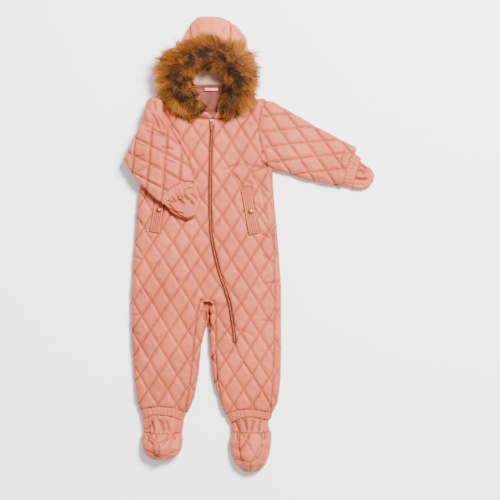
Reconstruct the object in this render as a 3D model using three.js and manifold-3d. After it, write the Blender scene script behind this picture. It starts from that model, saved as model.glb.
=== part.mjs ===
// A baby's quilted one-piece snowsuit, laid face up on a flat surface.
// Millimetres. +X is the wearer's left, +Y runs from the feet to the hood, +Z is up, and the surface is z = 0.
import * as THREE from 'three';
import { mergeVertices } from 'three/addons/utils/BufferGeometryUtils.js';
import Module from 'manifold-3d';

const wasm = await Module();
wasm.setup();

// Driving sizes
const SEAM = 0.3;            // gap between two pieces that are sewn together
const WADDED = 12;           // wall of the quilted, wadded cloth
const LAID = 2;              // air between the front and the back where they lie on each other
const CROWN = 2 * WADDED + LAID;
const EDGE = 2 * WADDED + 0.6;
const SIDE_SPLIT = WADDED + SEAM;
const HOOD_WALL = 12;
const HOOD_TOP = 50;
const BAND_WALL = 9;
const ANKLE_WALL = 7;
const BOOTIE_WALL = 5;
const MITT_LAYER = 8;
const LINING = 2;
const SLEEVE_REST = CROWN + 3.4;  // the right sleeve lies on the front and its pocket welt
const SLEEVE_WALL = 9;
const FUR_BASE = HOOD_TOP + 0.1;
const FUR_TOP = 84;
const HIGH = 200;

const ARC_STEPS = 4;
const CROWN_STEPS = 8;

// Colours
const CLOTH = { color: 0xdfa390, roughness: 0.62, metalness: 0 };
const DARK_CLOTH = { color: 0x8e5445, roughness: 0.8, metalness: 0 };
const HOOD_INSIDE = { color: 0xb98b75, roughness: 0.85, metalness: 0 };
const LABEL = { color: 0xc99a8a, roughness: 0.7, metalness: 0 };
const FUR = { color: 0x80532f, roughness: 0.95, metalness: 0 };
const ROSE_COPPER = { color: 0xc47d5e, roughness: 0.35, metalness: 0.9 };
const BRASS = { color: 0xb07f55, roughness: 0.35, metalness: 0.9 };
const TAPE = { color: 0xb8735f, roughness: 0.8, metalness: 0 };

// ---------------------------------------------------------------- tables
// Torso, by its height on the body: where its left and right edges lie.
const TORSO = [
  { y: 290, left: -214, right: 50 },
  { y: 200, left: -214, right: 50 },
  { y: 157, left: -214, right: 44 },
  { y: 107, left: -222, right: 48 },
  { y: 67, left: -226, right: 52 },
  { y: 15, left: -229, right: 56 },
  { y: -55, left: -234, right: 61 },
  { y: -91, left: -236, right: 63 },
  { y: -118, left: -238, right: 63 },
];
const RIGHT_LEG = [
  { y: -92, left: -236, right: -84.4 },
  { y: -155, left: -237, right: -85 },
  { y: -201, left: -235, right: -96 },
  { y: -255, left: -231, right: -101 },
  { y: -305, left: -227, right: -110 },
  { y: -338, left: -218, right: -124 },
];
const LEFT_LEG = [
  { y: -92, left: -83.6, right: 63 },
  { y: -155, left: -83, right: 63 },
  { y: -223, left: -79, right: 63 },
  { y: -277, left: -72, right: 61 },
  { y: -314, left: -60, right: 56 },
  { y: -340, left: -49, right: 44 },
];
// Seams on the front, as points from top to bottom.
const ZIP_LINE = [
  { x: -75.3, y: 248.4 }, { x: -78, y: 189 }, { x: -79.4, y: 128 }, { x: -79.4, y: 75 },
  { x: -78, y: 26 }, { x: -75.4, y: 5 }, { x: -69, y: -25 }, { x: -61, y: -56 },
  { x: -50, y: -87 }, { x: -41, y: -117 }, { x: -36, y: -148 }, { x: -32, y: -177 }, { x: -30, y: -194 },
];
const BELOW_ZIP = [{ x: -25, y: -214 }, { x: 41, y: -318 }];
const SIDE_SEAM = [
  { x: 44, y: 160 }, { x: 46, y: 107 }, { x: 48, y: 57 }, { x: 47, y: -35 }, { x: 49, y: -97 },
  { x: 48, y: -169 }, { x: 47, y: -211 }, { x: 45, y: -277 }, { x: 40, y: -336 },
];
const INSEAM = [
  { x: -56, y: -336 }, { x: -60, y: -290 }, { x: -64, y: -266 }, { x: -67, y: -223 }, { x: -68, y: -192 },
  { x: -68, y: -130 }, { x: -72, y: -112 }, { x: -84, y: -107 }, { x: -98, y: -110 }, { x: -104, y: -130 },
  { x: -108, y: -158 }, { x: -112, y: -201 }, { x: -117, y: -255 }, { x: -121, y: -284 }, { x: -130, y: -336 },
];
const LEFT_ARMHOLE = [
  { x: 32, y: 292 }, { x: 21, y: 262 }, { x: 18, y: 233 }, { x: 21, y: 199 }, { x: 30, y: 176 },
  { x: 37, y: 157 }, { x: 47, y: 149 },
];
const RIGHT_ARMHOLE = [
  { x: -201, y: 292 }, { x: -190, y: 262 }, { x: -187, y: 233 }, { x: -190, y: 199 }, { x: -199, y: 176 },
  { x: -206, y: 157 }, { x: -216, y: 149 },
];
// Hood, laid open: its edges and its height.
const HOOD = [
  { y: 249, left: -94, right: -57, top: 30 },
  { y: 262, left: -148, right: -19, top: 38 },
  { y: 280, left: -166, right: 0, top: 45 },
  { y: 310, left: -168, right: 3, top: 49 },
  { y: 345, left: -164, right: 2, top: HOOD_TOP },
  { y: 385, left: -151, right: -1, top: 48 },
  { y: 413, left: -132, right: -8, top: 44 },
  { y: 433, left: -123, right: -24, top: 35 },
  { y: 446, left: -113, right: -40, top: 24 },
  { y: 454.5, left: -104, right: -60, top: 14 },
];
const HOOD_NECK_BACK = 286;  // the hood meets the back panel here
const HOOD_SEAM_RIGHT = -118;
const HOOD_SEAM_LEFT = -38;
const FACE_OPENING = { x: -83, y: 306, half_width: 37, half_length: 44 };

// Sleeves and the bands, mitts, ankles: sections from an edge A to an edge B.
const LEFT_SLEEVE = [
  { ax: 2, ay: 294, bx: 12, by: 150, top: CROWN },
  { ax: 47, ay: 284, bx: 43, by: 151, top: CROWN },
  { ax: 84, ay: 263, bx: 79, by: 140, top: CROWN },
  { ax: 130, ay: 236, bx: 112, by: 129, top: CROWN },
  { ax: 176, ay: 212, bx: 152, by: 120, top: CROWN },
  { ax: 212, ay: 194, bx: 192, by: 112, top: CROWN },
];
const LEFT_SLEEVE_CUT = [{ x: 212, y: 188 }, { x: 198, y: 170 }, { x: 190, y: 145 }, { x: 185, y: 118 }];
const LEFT_CUFF = [
  { ax: 203, ay: 190, bx: 172, by: 121, top: 22 },
  { ax: 222, ay: 172, bx: 203, by: 113, top: 22 },
];
const LEFT_MITT = [
  { ax: 214, ay: 170, bx: 199, by: 112 },
  { ax: 231, ay: 158, bx: 223, by: 110 },
  { ax: 243, ay: 149, bx: 236, by: 114 },
  { ax: 248, ay: 138, bx: 245, by: 124 },
];
const RIGHT_SLEEVE = [
  { ax: -198, ay: 290, bx: -172, by: 286, top: 20 },
  { ax: -209, ay: 262, bx: -172, by: 262, top: 20 },
  { ax: -214, ay: 238, bx: -165, by: 243, top: 21 },
  { ax: -229, ay: 213, bx: -155, by: 226, top: 22 },
  { ax: -248, ay: 168, bx: -138, by: 197, top: 22 },
  { ax: -232, ay: 136, bx: -125, by: 172, top: 22 },
  { ax: -206, ay: 109, bx: -115, by: 145, top: 22 },
  { ax: -180, ay: 84, bx: -108, by: 122, top: 21 },
];
// The root of the right sleeve lies on the surface beside its armhole.
const RIGHT_SLEEVE_ROOT = [
  { ax: -204, ay: 291, bx: -184, by: 291 },
  { ax: -210, ay: 262, bx: -176, by: 262 },
  { ax: -215, ay: 233, bx: -172, by: 233 },
  { ax: -230, ay: 199, bx: -176, by: 199 },
  { ax: -240, ay: 172, bx: -185, by: 172 },
];
const RIGHT_SLEEVE_CUT = [
  { x: -200, y: 70 }, { x: -176, y: 84 }, { x: -170, y: 99 }, { x: -156, y: 110 }, { x: -142, y: 118 },
  { x: -122, y: 124 }, { x: -108, y: 122 }, { x: -88, y: 130 },
];
const RIGHT_CUFF = [
  { ax: -186, ay: 98, bx: -120, by: 134, top: 20 },
  { ax: -168, ay: 72, bx: -105, by: 107, top: 20 },
];
const RIGHT_MITT = [
  { ax: -165, ay: 79, bx: -104, by: 113 },
  { ax: -154, ay: 67, bx: -97, by: 92 },
  { ax: -138, ay: 57, bx: -100, by: 74 },
  { ax: -124, ay: 52, bx: -107, by: 58 },
];
// Where the legs end in their elastic bands, and the bands in the ankles, from the wearer's right.
const RIGHT_HEM = [
  { x: -225, y: -332 }, { x: -209, y: -326 }, { x: -183, y: -322 }, { x: -153, y: -324 }, { x: -122, y: -335 },
];
const RIGHT_BAND_END = [
  { x: -214, y: -349 }, { x: -196, y: -339 }, { x: -183, y: -338 }, { x: -158, y: -341 }, { x: -131, y: -351 },
];
const LEFT_HEM = [{ x: -52, y: -338 }, { x: -24, y: -329 }, { x: 3, y: -327 }, { x: 46, y: -335 }];
const LEFT_BAND_END = [
  { x: -39, y: -355 }, { x: -14, y: -344 }, { x: 3, y: -342 }, { x: 28, y: -347 }, { x: 40, y: -350 },
];
const RIGHT_LEG_CUFF = [
  { ax: -219, ay: -318, bx: -125, by: -318, top: 27 },
  { ax: -217, ay: -336, bx: -127, by: -336, top: 27 },
  { ax: -212, ay: -353, bx: -131, by: -353, top: 27 },
];
const LEFT_LEG_CUFF = [
  { ax: -50, ay: -322, bx: 46, by: -322, top: 27 },
  { ax: -47, ay: -340, bx: 44, by: -340, top: 27 },
  { ax: -38, ay: -357, bx: 37, by: -357, top: 27 },
];
const RIGHT_ANKLE = [
  { ax: -210, ay: -334, bx: -133, by: -334, top: 28 },
  { ax: -213, ay: -356, bx: -132, by: -356, top: 33 },
  { ax: -212, ay: -374, bx: -134, by: -374, top: 40 },
];
const LEFT_ANKLE = [
  { ax: -37, ay: -338, bx: 36, by: -338, top: 28 },
  { ax: -37, ay: -358, bx: 37, by: -358, top: 31 },
  { ax: -36, ay: -373, bx: 41, by: -373, top: 34 },
];
const RIGHT_BOOTIE = [
  { ax: -213, ay: -374.3, bx: -134, by: -374.3, top: 42 },
  { ax: -215, ay: -388, bx: -133, by: -388, top: 51 },
  { ax: -214, ay: -403, bx: -134, by: -403, top: 58 },
  { ax: -209, ay: -416, bx: -140, by: -416, top: 56 },
  { ax: -199, ay: -425, bx: -151, by: -425, top: 44 },
  { ax: -188, ay: -429, bx: -163, by: -429, top: 28 },
];
const LEFT_BOOTIE = [
  { ax: -36, ay: -373.3, bx: 43, by: -373.3, top: 35 },
  { ax: -41, ay: -394, bx: 43, by: -394, top: 42 },
  { ax: -38, ay: -417, bx: 39, by: -417, top: 46 },
  { ax: -31, ay: -435, bx: 33, by: -435, top: 44 },
  { ax: -17, ay: -450, bx: 20, by: -450, top: 32 },
  { ax: -8, ay: -454.5, bx: 9, by: -454.5, top: 20 },
];
const RIGHT_VAMP = [
  { x: -198, y: -372 }, { x: -196, y: -382 }, { x: -180, y: -391 }, { x: -163, y: -382 }, { x: -160, y: -372 },
];
const LEFT_VAMP = [
  { x: -20, y: -371 }, { x: -22, y: -401 }, { x: -16, y: -423 }, { x: -1, y: -430 },
  { x: 15, y: -423 }, { x: 25, y: -405 }, { x: 23, y: -371 },
];
// Fur, around the face opening from the wearer's right to their left: its outer and inner edges.
const FUR_PATH = [
  { ax: -126, ay: 254, bx: -101, by: 262 },
  { ax: -164, ay: 275, bx: -116, by: 284 },
  { ax: -189, ay: 308, bx: -119, by: 306 },
  { ax: -194, ay: 345, bx: -117, by: 325 },
  { ax: -173, ay: 386, bx: -108, by: 340 },
  { ax: -130, ay: 408, bx: -97, by: 346 },
  { ax: -84, ay: 414, bx: -84, by: 347 },
  { ax: -42, ay: 405, bx: -69, by: 346 },
  { ax: -6, ay: 380, bx: -57, by: 340 },
  { ax: 14, ay: 342, bx: -49, by: 325 },
  { ax: 12, ay: 305, bx: -47, by: 306 },
  { ax: -14, ay: 276, bx: -48, by: 285 },
  { ax: -40, ay: 260, bx: -56, by: 266 },
];
// Pocket welts: corners, and their snaps.
const LEFT_WELT = [{ x: -18, y: 111 }, { x: 0, y: 115 }, { x: 17, y: 23 }, { x: -2, y: 19 }];
const RIGHT_WELT = [{ x: -184, y: 108 }, { x: -166, y: 112 }, { x: -180, y: 22 }, { x: -199, y: 26 }];
const WELT_THICK = 2.6;
const SNAPS = { left: { x: 1, y: 65 }, right: { x: -181, y: 68 } };
const SNAP_RADIUS = 5;
const SNAP_HEIGHT = 2.4;

// Zip
const CHAIN_HALF = 2.8;
const SLOT_HALF = 4.4;
const CHAIN_THICK = 2.4;
const TAPE_THICK = 1.2;
const CHAIN_TOP = CROWN - 0.6;
const SLIDER = { x: -75.6, y: 242.6, width: 8, length: 11, height: 2.8 };
const CHEEK = { inner: 1.7, thick: 1.1, radius: 1.7, rise: 2.2 };
const PIN_RADIUS = 0.6;
const KNUCKLE = { outer: 1.75, inner: 1.0, half: 1.35 };
const PULL = { width: 5, length: 17, thick: 1.2, droop: 12 };
const LABEL_SIZE = { x: -77, y: 308, width: 26, length: 6, thick: 0.8 };
const NECK_FOLD = 317;  // where the neck's facing meets the hood's lining

// ---------------------------------------------------------------- solids
function manifoldOf(geometry) {
  geometry.deleteAttribute('normal');
  geometry.deleteAttribute('uv');
  const merged = mergeVertices(geometry, 1e-4);
  const corners = [];
  for (let i = 0; i < merged.index.count; i += 3) {
    const [a, b, c] = merged.index.array.subarray(i, i + 3);
    if (a !== b && b !== c && c !== a) corners.push(a, b, c);
  }
  const mesh = new wasm.Mesh({
    numProp: 3,
    vertProperties: new Float32Array(merged.attributes.position.array),
    triVerts: new Uint32Array(corners),
  });
  return new wasm.Manifold(mesh);
}

function geometryOf(solid) {
  const mesh = solid.getMesh();
  const geometry = new THREE.BufferGeometry();
  geometry.setAttribute('position', new THREE.BufferAttribute(new Float32Array(mesh.vertProperties), 3));
  geometry.setIndex(new THREE.BufferAttribute(new Uint32Array(mesh.triVerts), 1));
  return geometry;
}

// A solid through rings that each have the same number of points.
function loft(rings) {
  const count = rings[0].length;
  const index = [];
  for (let i = 0; i + 1 < rings.length; i++) {
    for (let j = 0; j < count; j++) {
      const a = i * count + j;
      const b = i * count + ((j + 1) % count);
      index.push(a, b, b + count, a, b + count, a + count);
    }
  }
  const last = (rings.length - 1) * count;
  for (let j = 1; j + 1 < count; j++) {
    index.push(0, j + 1, j);
    index.push(last, last + j, last + j + 1);
  }
  const points = rings.flat();
  let volume = 0;
  for (let i = 0; i < index.length; i += 3) {
    const [p, q, r] = [points[index[i]], points[index[i + 1]], points[index[i + 2]]];
    volume += p.dot(new THREE.Vector3().crossVectors(q, r));
  }
  if (volume < 0) index.reverse();
  const geometry = new THREE.BufferGeometry().setFromPoints(points);
  geometry.setIndex(index);
  return manifoldOf(geometry);
}

// A laid tube's section between two edge points: flat below, round at both sides, and crowned.
function section({ ax, ay, bx, by, base, top, edge }, inset = 0) {
  const [a, b] = [new THREE.Vector2(ax, ay), new THREE.Vector2(bx, by)];
  const across = b.clone().sub(a);
  const half = across.length() / 2 - inset;
  across.normalize();
  const middle = a.add(b).multiplyScalar(0.5);
  const low = base + inset;
  const high = top - inset;
  const side = Math.min(Math.max(edge - 2 * inset, 0.6) / 2, half * 0.98, (high - low) / 2);
  const rise = high - low - 2 * side;
  const profile = [];
  for (let i = 0; i <= ARC_STEPS; i++) {
    const turn = -Math.PI / 2 + (Math.PI * i) / ARC_STEPS;
    profile.push([-half + side - side * Math.cos(turn), low + side + side * Math.sin(turn)]);
  }
  for (let i = 1; i < CROWN_STEPS; i++) {
    const along = i / CROWN_STEPS;
    const u = (2 * along - 1) * (half - side);
    profile.push([u, low + 2 * side + rise * Math.sin(Math.PI * along) ** 0.7]);
  }
  for (let i = ARC_STEPS; i >= 0; i--) {
    const turn = -Math.PI / 2 + (Math.PI * i) / ARC_STEPS;
    profile.push([half - side + side * Math.cos(turn), low + side + side * Math.sin(turn)]);
  }
  return profile.map(([u, z]) => new THREE.Vector3(middle.x + across.x * u, middle.y + across.y * u, z));
}

const rowsToSections = (rows) => rows.map(({ y, left, right, top }) => ({ ax: left, ay: y, bx: right, by: y, top }));

function full(sections, { base = 0, edge }) {
  return sections.map((s) => {
    const top = base + s.top;
    return { ...s, base, top, edge: edge ?? 0.8 * s.top };
  });
}

// The same sections, run on a little at one or both ends so that a hollow passes right through.
function runOn(sections, { start = true, end = true, by = 3 }) {
  const shift = (from, to) => {
    const dx = (from.ax + from.bx - to.ax - to.bx) / 2;
    const dy = (from.ay + from.by - to.ay - to.by) / 2;
    const scale = by / Math.hypot(dx, dy);
    const [mx, my] = [dx * scale, dy * scale];
    return { ...from, ax: from.ax + mx, ay: from.ay + my, bx: from.bx + mx, by: from.by + my };
  };
  const out = [...sections];
  if (start) out.unshift(shift(sections[0], sections[1]));
  if (end) out.push(shift(sections.at(-1), sections.at(-2)));
  return out;
}

const solidOf = (sections) => loft(sections.map((s) => section(s)));
const hollowOf = (sections, wall, ends = {}) => loft(runOn(sections, ends).map((s) => section(s, wall)));

function prism(points, low = -HIGH, high = HIGH) {
  const shape = new THREE.Shape(points.map(({ x, y }) => new THREE.Vector2(x, y)));
  const geometry = new THREE.ExtrudeGeometry(shape, { depth: high - low, bevelEnabled: false });
  return manifoldOf(geometry.translate(0, 0, low));
}

const box = (x0, x1, y0, y1, z0, z1) => prism([
  { x: x0, y: y0 }, { x: x1, y: y0 }, { x: x1, y: y1 }, { x: x0, y: y1 },
], z0, z1);

// ---------------------------------------------------------------- cutting tools
const shifted = (line, dx, dy = 0) => line.map(({ x, y }) => ({ x: x + dx, y: y + dy }));

// Everything on the feet's side of a line that runs from the wearer's right to their left.
function below(line, gap) {
  const [first, last] = [line[0], line.at(-1)];
  return prism([
    { x: first.x - 30, y: first.y - gap }, ...shifted(line, 0, -gap), { x: last.x + 30, y: last.y - gap },
    { x: last.x + 30, y: -520 }, { x: first.x - 30, y: -520 },
  ]);
}

// Everything on the left of the line from A to B.
function leftOf({ ax, ay, bx, by }, gap) {
  const length = Math.hypot(bx - ax, by - ay);
  const [ux, uy] = [(bx - ax) / length, (by - ay) / length];
  const at = (u, v) => ({ x: ax + ux * u - uy * (v + gap), y: ay + uy * u + ux * (v + gap) });
  return prism([at(-HIGH, 0), at(HIGH + length, 0), at(HIGH + length, HIGH), at(-HIGH, HIGH)]);
}

// A shape in Y and Z, run along X.
function sideways(points, x0, x1) {
  const shape = new THREE.Shape(points.map(({ y, z }) => new THREE.Vector2(y, z)));
  const geometry = new THREE.ExtrudeGeometry(shape, { depth: x1 - x0, bevelEnabled: false, curveSegments: 12 });
  const turn = new THREE.Matrix4().makeBasis(
    new THREE.Vector3(0, 1, 0), new THREE.Vector3(0, 0, 1), new THREE.Vector3(1, 0, 0),
  );
  return manifoldOf(geometry.applyMatrix4(turn).translate(x0, 0, 0));
}

function outsideLeftArmhole(gap, lowest) {
  const curve = shifted(LEFT_ARMHOLE, gap);
  return prism([
    ...curve, { x: curve.at(-1).x, y: lowest }, { x: 300, y: lowest }, { x: 300, y: 330 }, { x: curve[0].x, y: 330 },
  ]);
}

function outsideRightArmhole(gap) {
  const curve = shifted(RIGHT_ARMHOLE, -gap);
  return prism([...curve, { x: -290, y: curve.at(-1).y }, { x: -290, y: 330 }, { x: curve[0].x, y: 330 }]);
}

// ---------------------------------------------------------------- body
const rowsOf = (rows) => full(rowsToSections(rows.map((row) => ({ ...row, top: CROWN }))), { edge: EDGE });
const BODY = [TORSO, RIGHT_LEG, LEFT_LEG].map(rowsOf);

function bodySolid(rise) {
  const raise = (s) => ({ ...s, top: s.top + rise, edge: s.edge + rise });
  return wasm.Manifold.union(BODY.map((sections) => solidOf(sections.map(raise))));
}

const bodyHollow = wasm.Manifold.union([
  hollowOf(BODY[0], WADDED, { end: false }),
  hollowOf(BODY[1], WADDED, { start: false, by: 6 }),
  hollowOf(BODY[2], WADDED, { start: false, by: 6 }),
]);
const bodyShell = bodySolid(0)
  .subtract(bodyHollow)
  .subtract(outsideLeftArmhole(-SEAM / 2, 148.5))
  .subtract(outsideRightArmhole(-SEAM / 2))
  .subtract(below(RIGHT_HEM, -SEAM / 2))
  .subtract(below(LEFT_HEM, -SEAM / 2));

// The hood's sewn edge in plan: its own outline, let out by a gap.
function hoodPlan(gap) {
  const left = HOOD.map(({ y, left: x }) => ({ x: x - gap, y }));
  const right = HOOD.map(({ y, right: x }) => ({ x: x + gap, y }));
  left[0].y -= gap;
  right[0].y -= gap;
  return prism([...left, ...right.reverse()]);
}

// The front's plan, from past the wearer's right edge, where the side seam hides, to the left side seam.
function frontPlan(gap) {
  const crotch = -84;
  const inseam = [...INSEAM].reverse().map(({ x, y }) => ({ x: x < crotch ? x + gap : x - gap, y: y - gap }));
  const side = [...SIDE_SEAM].reverse().map(({ x, y }) => ({ x: x + gap, y }));
  const foot = -345;
  return prism([
    { x: -300, y: 320 }, { x: -300, y: foot }, { x: inseam[0].x, y: foot }, ...inseam,
    { x: inseam.at(-1).x, y: foot }, { x: side[0].x, y: foot }, ...side, { x: 60, y: 150 }, { x: 60, y: 320 },
  ], SIDE_SPLIT - gap, HIGH);
}

function leftOfCentre(gap) {
  const line = shifted([...ZIP_LINE, ...BELOW_ZIP], gap);
  return prism([{ x: line[0].x, y: 330 }, ...line, { x: 120, y: BELOW_ZIP.at(-1).y }, { x: 120, y: 330 }]);
}

const ribbon = (line, from, to, low, high) => (
  prism([...shifted(line, from), ...shifted(line, to).reverse()], low, high)
);

const frontShell = bodyShell
  .intersect(frontPlan(-SEAM / 2))
  .subtract(hoodPlan(SEAM))
  .subtract(ribbon(ZIP_LINE, -SLOT_HALF, SLOT_HALF));
const frontLeft = frontShell.intersect(leftOfCentre(SEAM / 2));
const frontRight = frontShell.subtract(leftOfCentre(-SEAM / 2));
const backUnderNeck = box(-300, 100, 200, HOOD_NECK_BACK, -HIGH, SIDE_SPLIT - SEAM / 2);
const back = bodyShell.subtract(frontPlan(SEAM / 2)).subtract(hoodPlan(SEAM).subtract(backUnderNeck));

// ---------------------------------------------------------------- hood
const hoodSections = full(rowsToSections(HOOD), {});

function faceOpening() {
  const round = new THREE.CylinderGeometry(1, 1, HIGH, 40).rotateX(Math.PI / 2);
  round.scale(FACE_OPENING.half_width, FACE_OPENING.half_length, 1);
  const floor = HOOD_WALL + 6;
  const oval = manifoldOf(round.translate(FACE_OPENING.x, FACE_OPENING.y, HIGH / 2 + floor));
  return oval.add(prism([{ x: -88, y: 266 }, { x: -73, y: 249.5 }, { x: -62, y: 267 }], floor, HIGH));
}

const hoodShell = solidOf(hoodSections)
  .subtract(hollowOf(hoodSections.slice(1, -1), HOOD_WALL, { start: false, end: false }))
  .subtract(faceOpening())
  .subtract(box(-300, 100, 200, HOOD_NECK_BACK + SEAM, -10, WADDED + 2 * SEAM));
const crownStart = FACE_OPENING.y + FACE_OPENING.half_length - 5;
const hoodMiddle = (gap) => box(HOOD_SEAM_RIGHT - gap, HOOD_SEAM_LEFT + gap, crownStart - gap, 500, -10, HIGH)
  .add(box(HOOD_SEAM_RIGHT - gap, HOOD_SEAM_LEFT + gap, HOOD_NECK_BACK, 500, -10, HOOD_WALL + 3 + gap));
const hoodCentre = hoodShell.intersect(hoodMiddle(-SEAM / 2));
const hoodSides = hoodShell.subtract(hoodMiddle(SEAM / 2));
const zipTopX = -73;
const hoodSideRight = hoodSides.intersect(box(-300, zipTopX - SEAM / 2, 200, 500, -10, HIGH));
const hoodSideLeft = hoodSides.intersect(box(zipTopX + SEAM / 2, 100, 200, 500, -10, HIGH));

const liningLow = HOOD_WALL + 2 * SEAM + SEAM;
const hoodLining = prism([
  { x: -136, y: NECK_FOLD + SEAM }, { x: -24, y: NECK_FOLD + SEAM }, { x: -20, y: 360 }, { x: -30, y: 400 },
  { x: -124, y: 400 }, { x: -140, y: 360 },
], liningLow, liningLow + LINING);
const neckLining = prism([
  { x: -116, y: 265 }, { x: -50, y: 265 }, { x: -28, y: 285 }, { x: -24, y: NECK_FOLD },
  { x: -136, y: NECK_FOLD }, { x: -134, y: 285 },
], liningLow, liningLow + LINING);
const labelLow = liningLow + LINING + SEAM;
const neckLabel = box(
  LABEL_SIZE.x - LABEL_SIZE.width / 2, LABEL_SIZE.x + LABEL_SIZE.width / 2,
  LABEL_SIZE.y - LABEL_SIZE.length / 2, LABEL_SIZE.y + LABEL_SIZE.length / 2,
  labelLow, labelLow + LABEL_SIZE.thick,
);
const furSections = full(FUR_PATH.map((s) => ({ ...s, top: FUR_TOP - FUR_BASE })), { base: FUR_BASE, edge: 22 });
const furTrim = solidOf(furSections);

// ---------------------------------------------------------------- sleeves, cuffs and mitts
const leftSleeve = full(LEFT_SLEEVE, { edge: EDGE });
const pastLeftSleeve = (gap) => prism([
  { x: 230 + gap, y: 230 }, ...shifted(LEFT_SLEEVE_CUT, gap), { x: 178 + gap, y: 60 }, { x: 300, y: 60 },
  { x: 300, y: 230 },
]);
const sleeveLeft = solidOf(leftSleeve)
  .subtract(hollowOf(leftSleeve, WADDED))
  .intersect(outsideLeftArmhole(SEAM / 2, 60))
  .subtract(pastLeftSleeve(-SEAM));
const leftCuffSections = full(LEFT_CUFF, { edge: 20 });
const sleeveCuffLeft = solidOf(leftCuffSections)
  .subtract(hollowOf(leftCuffSections, BAND_WALL))
  .intersect(pastLeftSleeve(0));

const rightSleeve = full(RIGHT_SLEEVE, { base: SLEEVE_REST, edge: 18 });
const rightRoot = full(RIGHT_SLEEVE_ROOT.map((s) => ({ ...s, top: 40 })), { edge: 20 });
const pastRightSleeve = (gap) => prism([
  ...shifted(RIGHT_SLEEVE_CUT, -gap * 0.48, gap * 0.88), { x: -40, y: 60 }, { x: -120, y: 0 }, { x: -230, y: 30 },
]);
const overBody = box(-300, 100, 100, 330, -10, CROWN + SEAM).subtract(outsideRightArmhole(SEAM / 2));
const sleeveRight = solidOf(rightSleeve)
  .add(solidOf(rightRoot))
  .subtract(hollowOf(rightSleeve.slice(1), SLEEVE_WALL, { start: false }))
  .subtract(overBody)
  .subtract(pastRightSleeve(SEAM));
const rightCuffSections = full(RIGHT_CUFF, { base: SLEEVE_REST, edge: 19 });
const sleeveCuffRight = solidOf(rightCuffSections)
  .subtract(hollowOf(rightCuffSections, BAND_WALL))
  .intersect(pastRightSleeve(0));

function mittLayer(sections, base, cuffEnd) {
  const layer = full(sections.map((s) => ({ ...s, top: MITT_LAYER })), { base, edge: MITT_LAYER - 0.6 });
  return solidOf(layer).intersect(leftOf(cuffEnd, SEAM));
}

// ---------------------------------------------------------------- legs' ends
function legBand(sections, wall, from, to) {
  const laid = full(sections, { edge: 24 });
  const ring = solidOf(laid).subtract(hollowOf(laid, wall)).intersect(below(from, SEAM / 2));
  return to ? ring.subtract(below(to, -SEAM / 2)) : ring;
}

function bootie(sections, vampPlan, solePlan) {
  const laid = full(sections, {});
  const shell = solidOf(laid).subtract(hollowOf(laid.slice(0, -1), BOOTIE_WALL, { end: false }));
  const xs = sections.flatMap(({ ax, bx }) => [ax, bx]);
  const [x0, x1] = [Math.min(...xs) - 10, Math.max(...xs) + 10];
  const vampFloor = 20;
  const soleSpace = (gap) => sideways(solePlan.map(({ y, z }) => ({ y, z: z + gap })), x0, x1);
  const wide = vampPlan.map(({ x, y }) => {
    const middle = (vampPlan[0].x + vampPlan.at(-1).x) / 2;
    return { x: x + SEAM * Math.sign(x - middle), y: y - SEAM };
  });
  return {
    vamp: shell.intersect(prism(vampPlan, vampFloor)),
    wall: shell.subtract(prism(wide, vampFloor - SEAM)).subtract(soleSpace(SEAM)),
    sole: shell.intersect(soleSpace(0)),
  };
}

const rightBootie = bootie(RIGHT_BOOTIE, RIGHT_VAMP, [
  { y: -360, z: -20 }, { y: -360, z: 5.1 }, { y: -374, z: 5.1 }, { y: -417, z: 50 }, { y: -440, z: 74 }, { y: -440, z: -20 },
]);
const leftBootie = bootie(LEFT_BOOTIE, LEFT_VAMP, [
  { y: -360, z: -20 }, { y: -360, z: 5.1 }, { y: -438, z: 6 }, { y: -460, z: 12 }, { y: -460, z: -20 },
]);

// ---------------------------------------------------------------- pockets and snaps
// A welt is the front's own surface, moved out, within the welt's plan.
const above = (low, high) => bodySolid(high).subtract(bodySolid(low));
const weltSheet = above(SEAM, SEAM + WELT_THICK);
const weltOf = (plan) => weltSheet.intersect(prism(plan, CROWN - 4, HIGH));

function surfaceAt(solid, { x, y }) {
  const probe = solid.intersect(box(x - 1, x + 1, y - 1, y + 1, CROWN - 4, HIGH));
  return probe.boundingBox().max[2];
}

function snap(place, welt) {
  const dome = [
    [0, 0], [SNAP_RADIUS, 0], [SNAP_RADIUS, 0.8], [SNAP_RADIUS * 0.8, SNAP_HEIGHT * 0.8], [0, SNAP_HEIGHT],
  ];
  const geometry = new THREE.LatheGeometry(dome.map(([r, h]) => new THREE.Vector2(r, h)), 24).rotateX(Math.PI / 2);
  return manifoldOf(geometry.translate(place.x, place.y, surfaceAt(welt, place) + SEAM));
}

// ---------------------------------------------------------------- zip
const chainLow = CHAIN_TOP - CHAIN_THICK;
const zipChain = ribbon(ZIP_LINE, -CHAIN_HALF, CHAIN_HALF, chainLow, CHAIN_TOP);
const tapeHigh = chainLow - SEAM;
const tape = (from, to) => ribbon(ZIP_LINE, from, to, tapeHigh - TAPE_THICK, tapeHigh);
const sliderLow = CHAIN_TOP + SEAM;
const PIN = { y: SLIDER.y, z: sliderLow + SLIDER.height + CHEEK.rise };

function disc(radius, x0, x1) {
  const round = new THREE.CylinderGeometry(radius, radius, x1 - x0, 24).rotateZ(Math.PI / 2);
  return manifoldOf(round.translate((x0 + x1) / 2, 0, 0));
}

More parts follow.
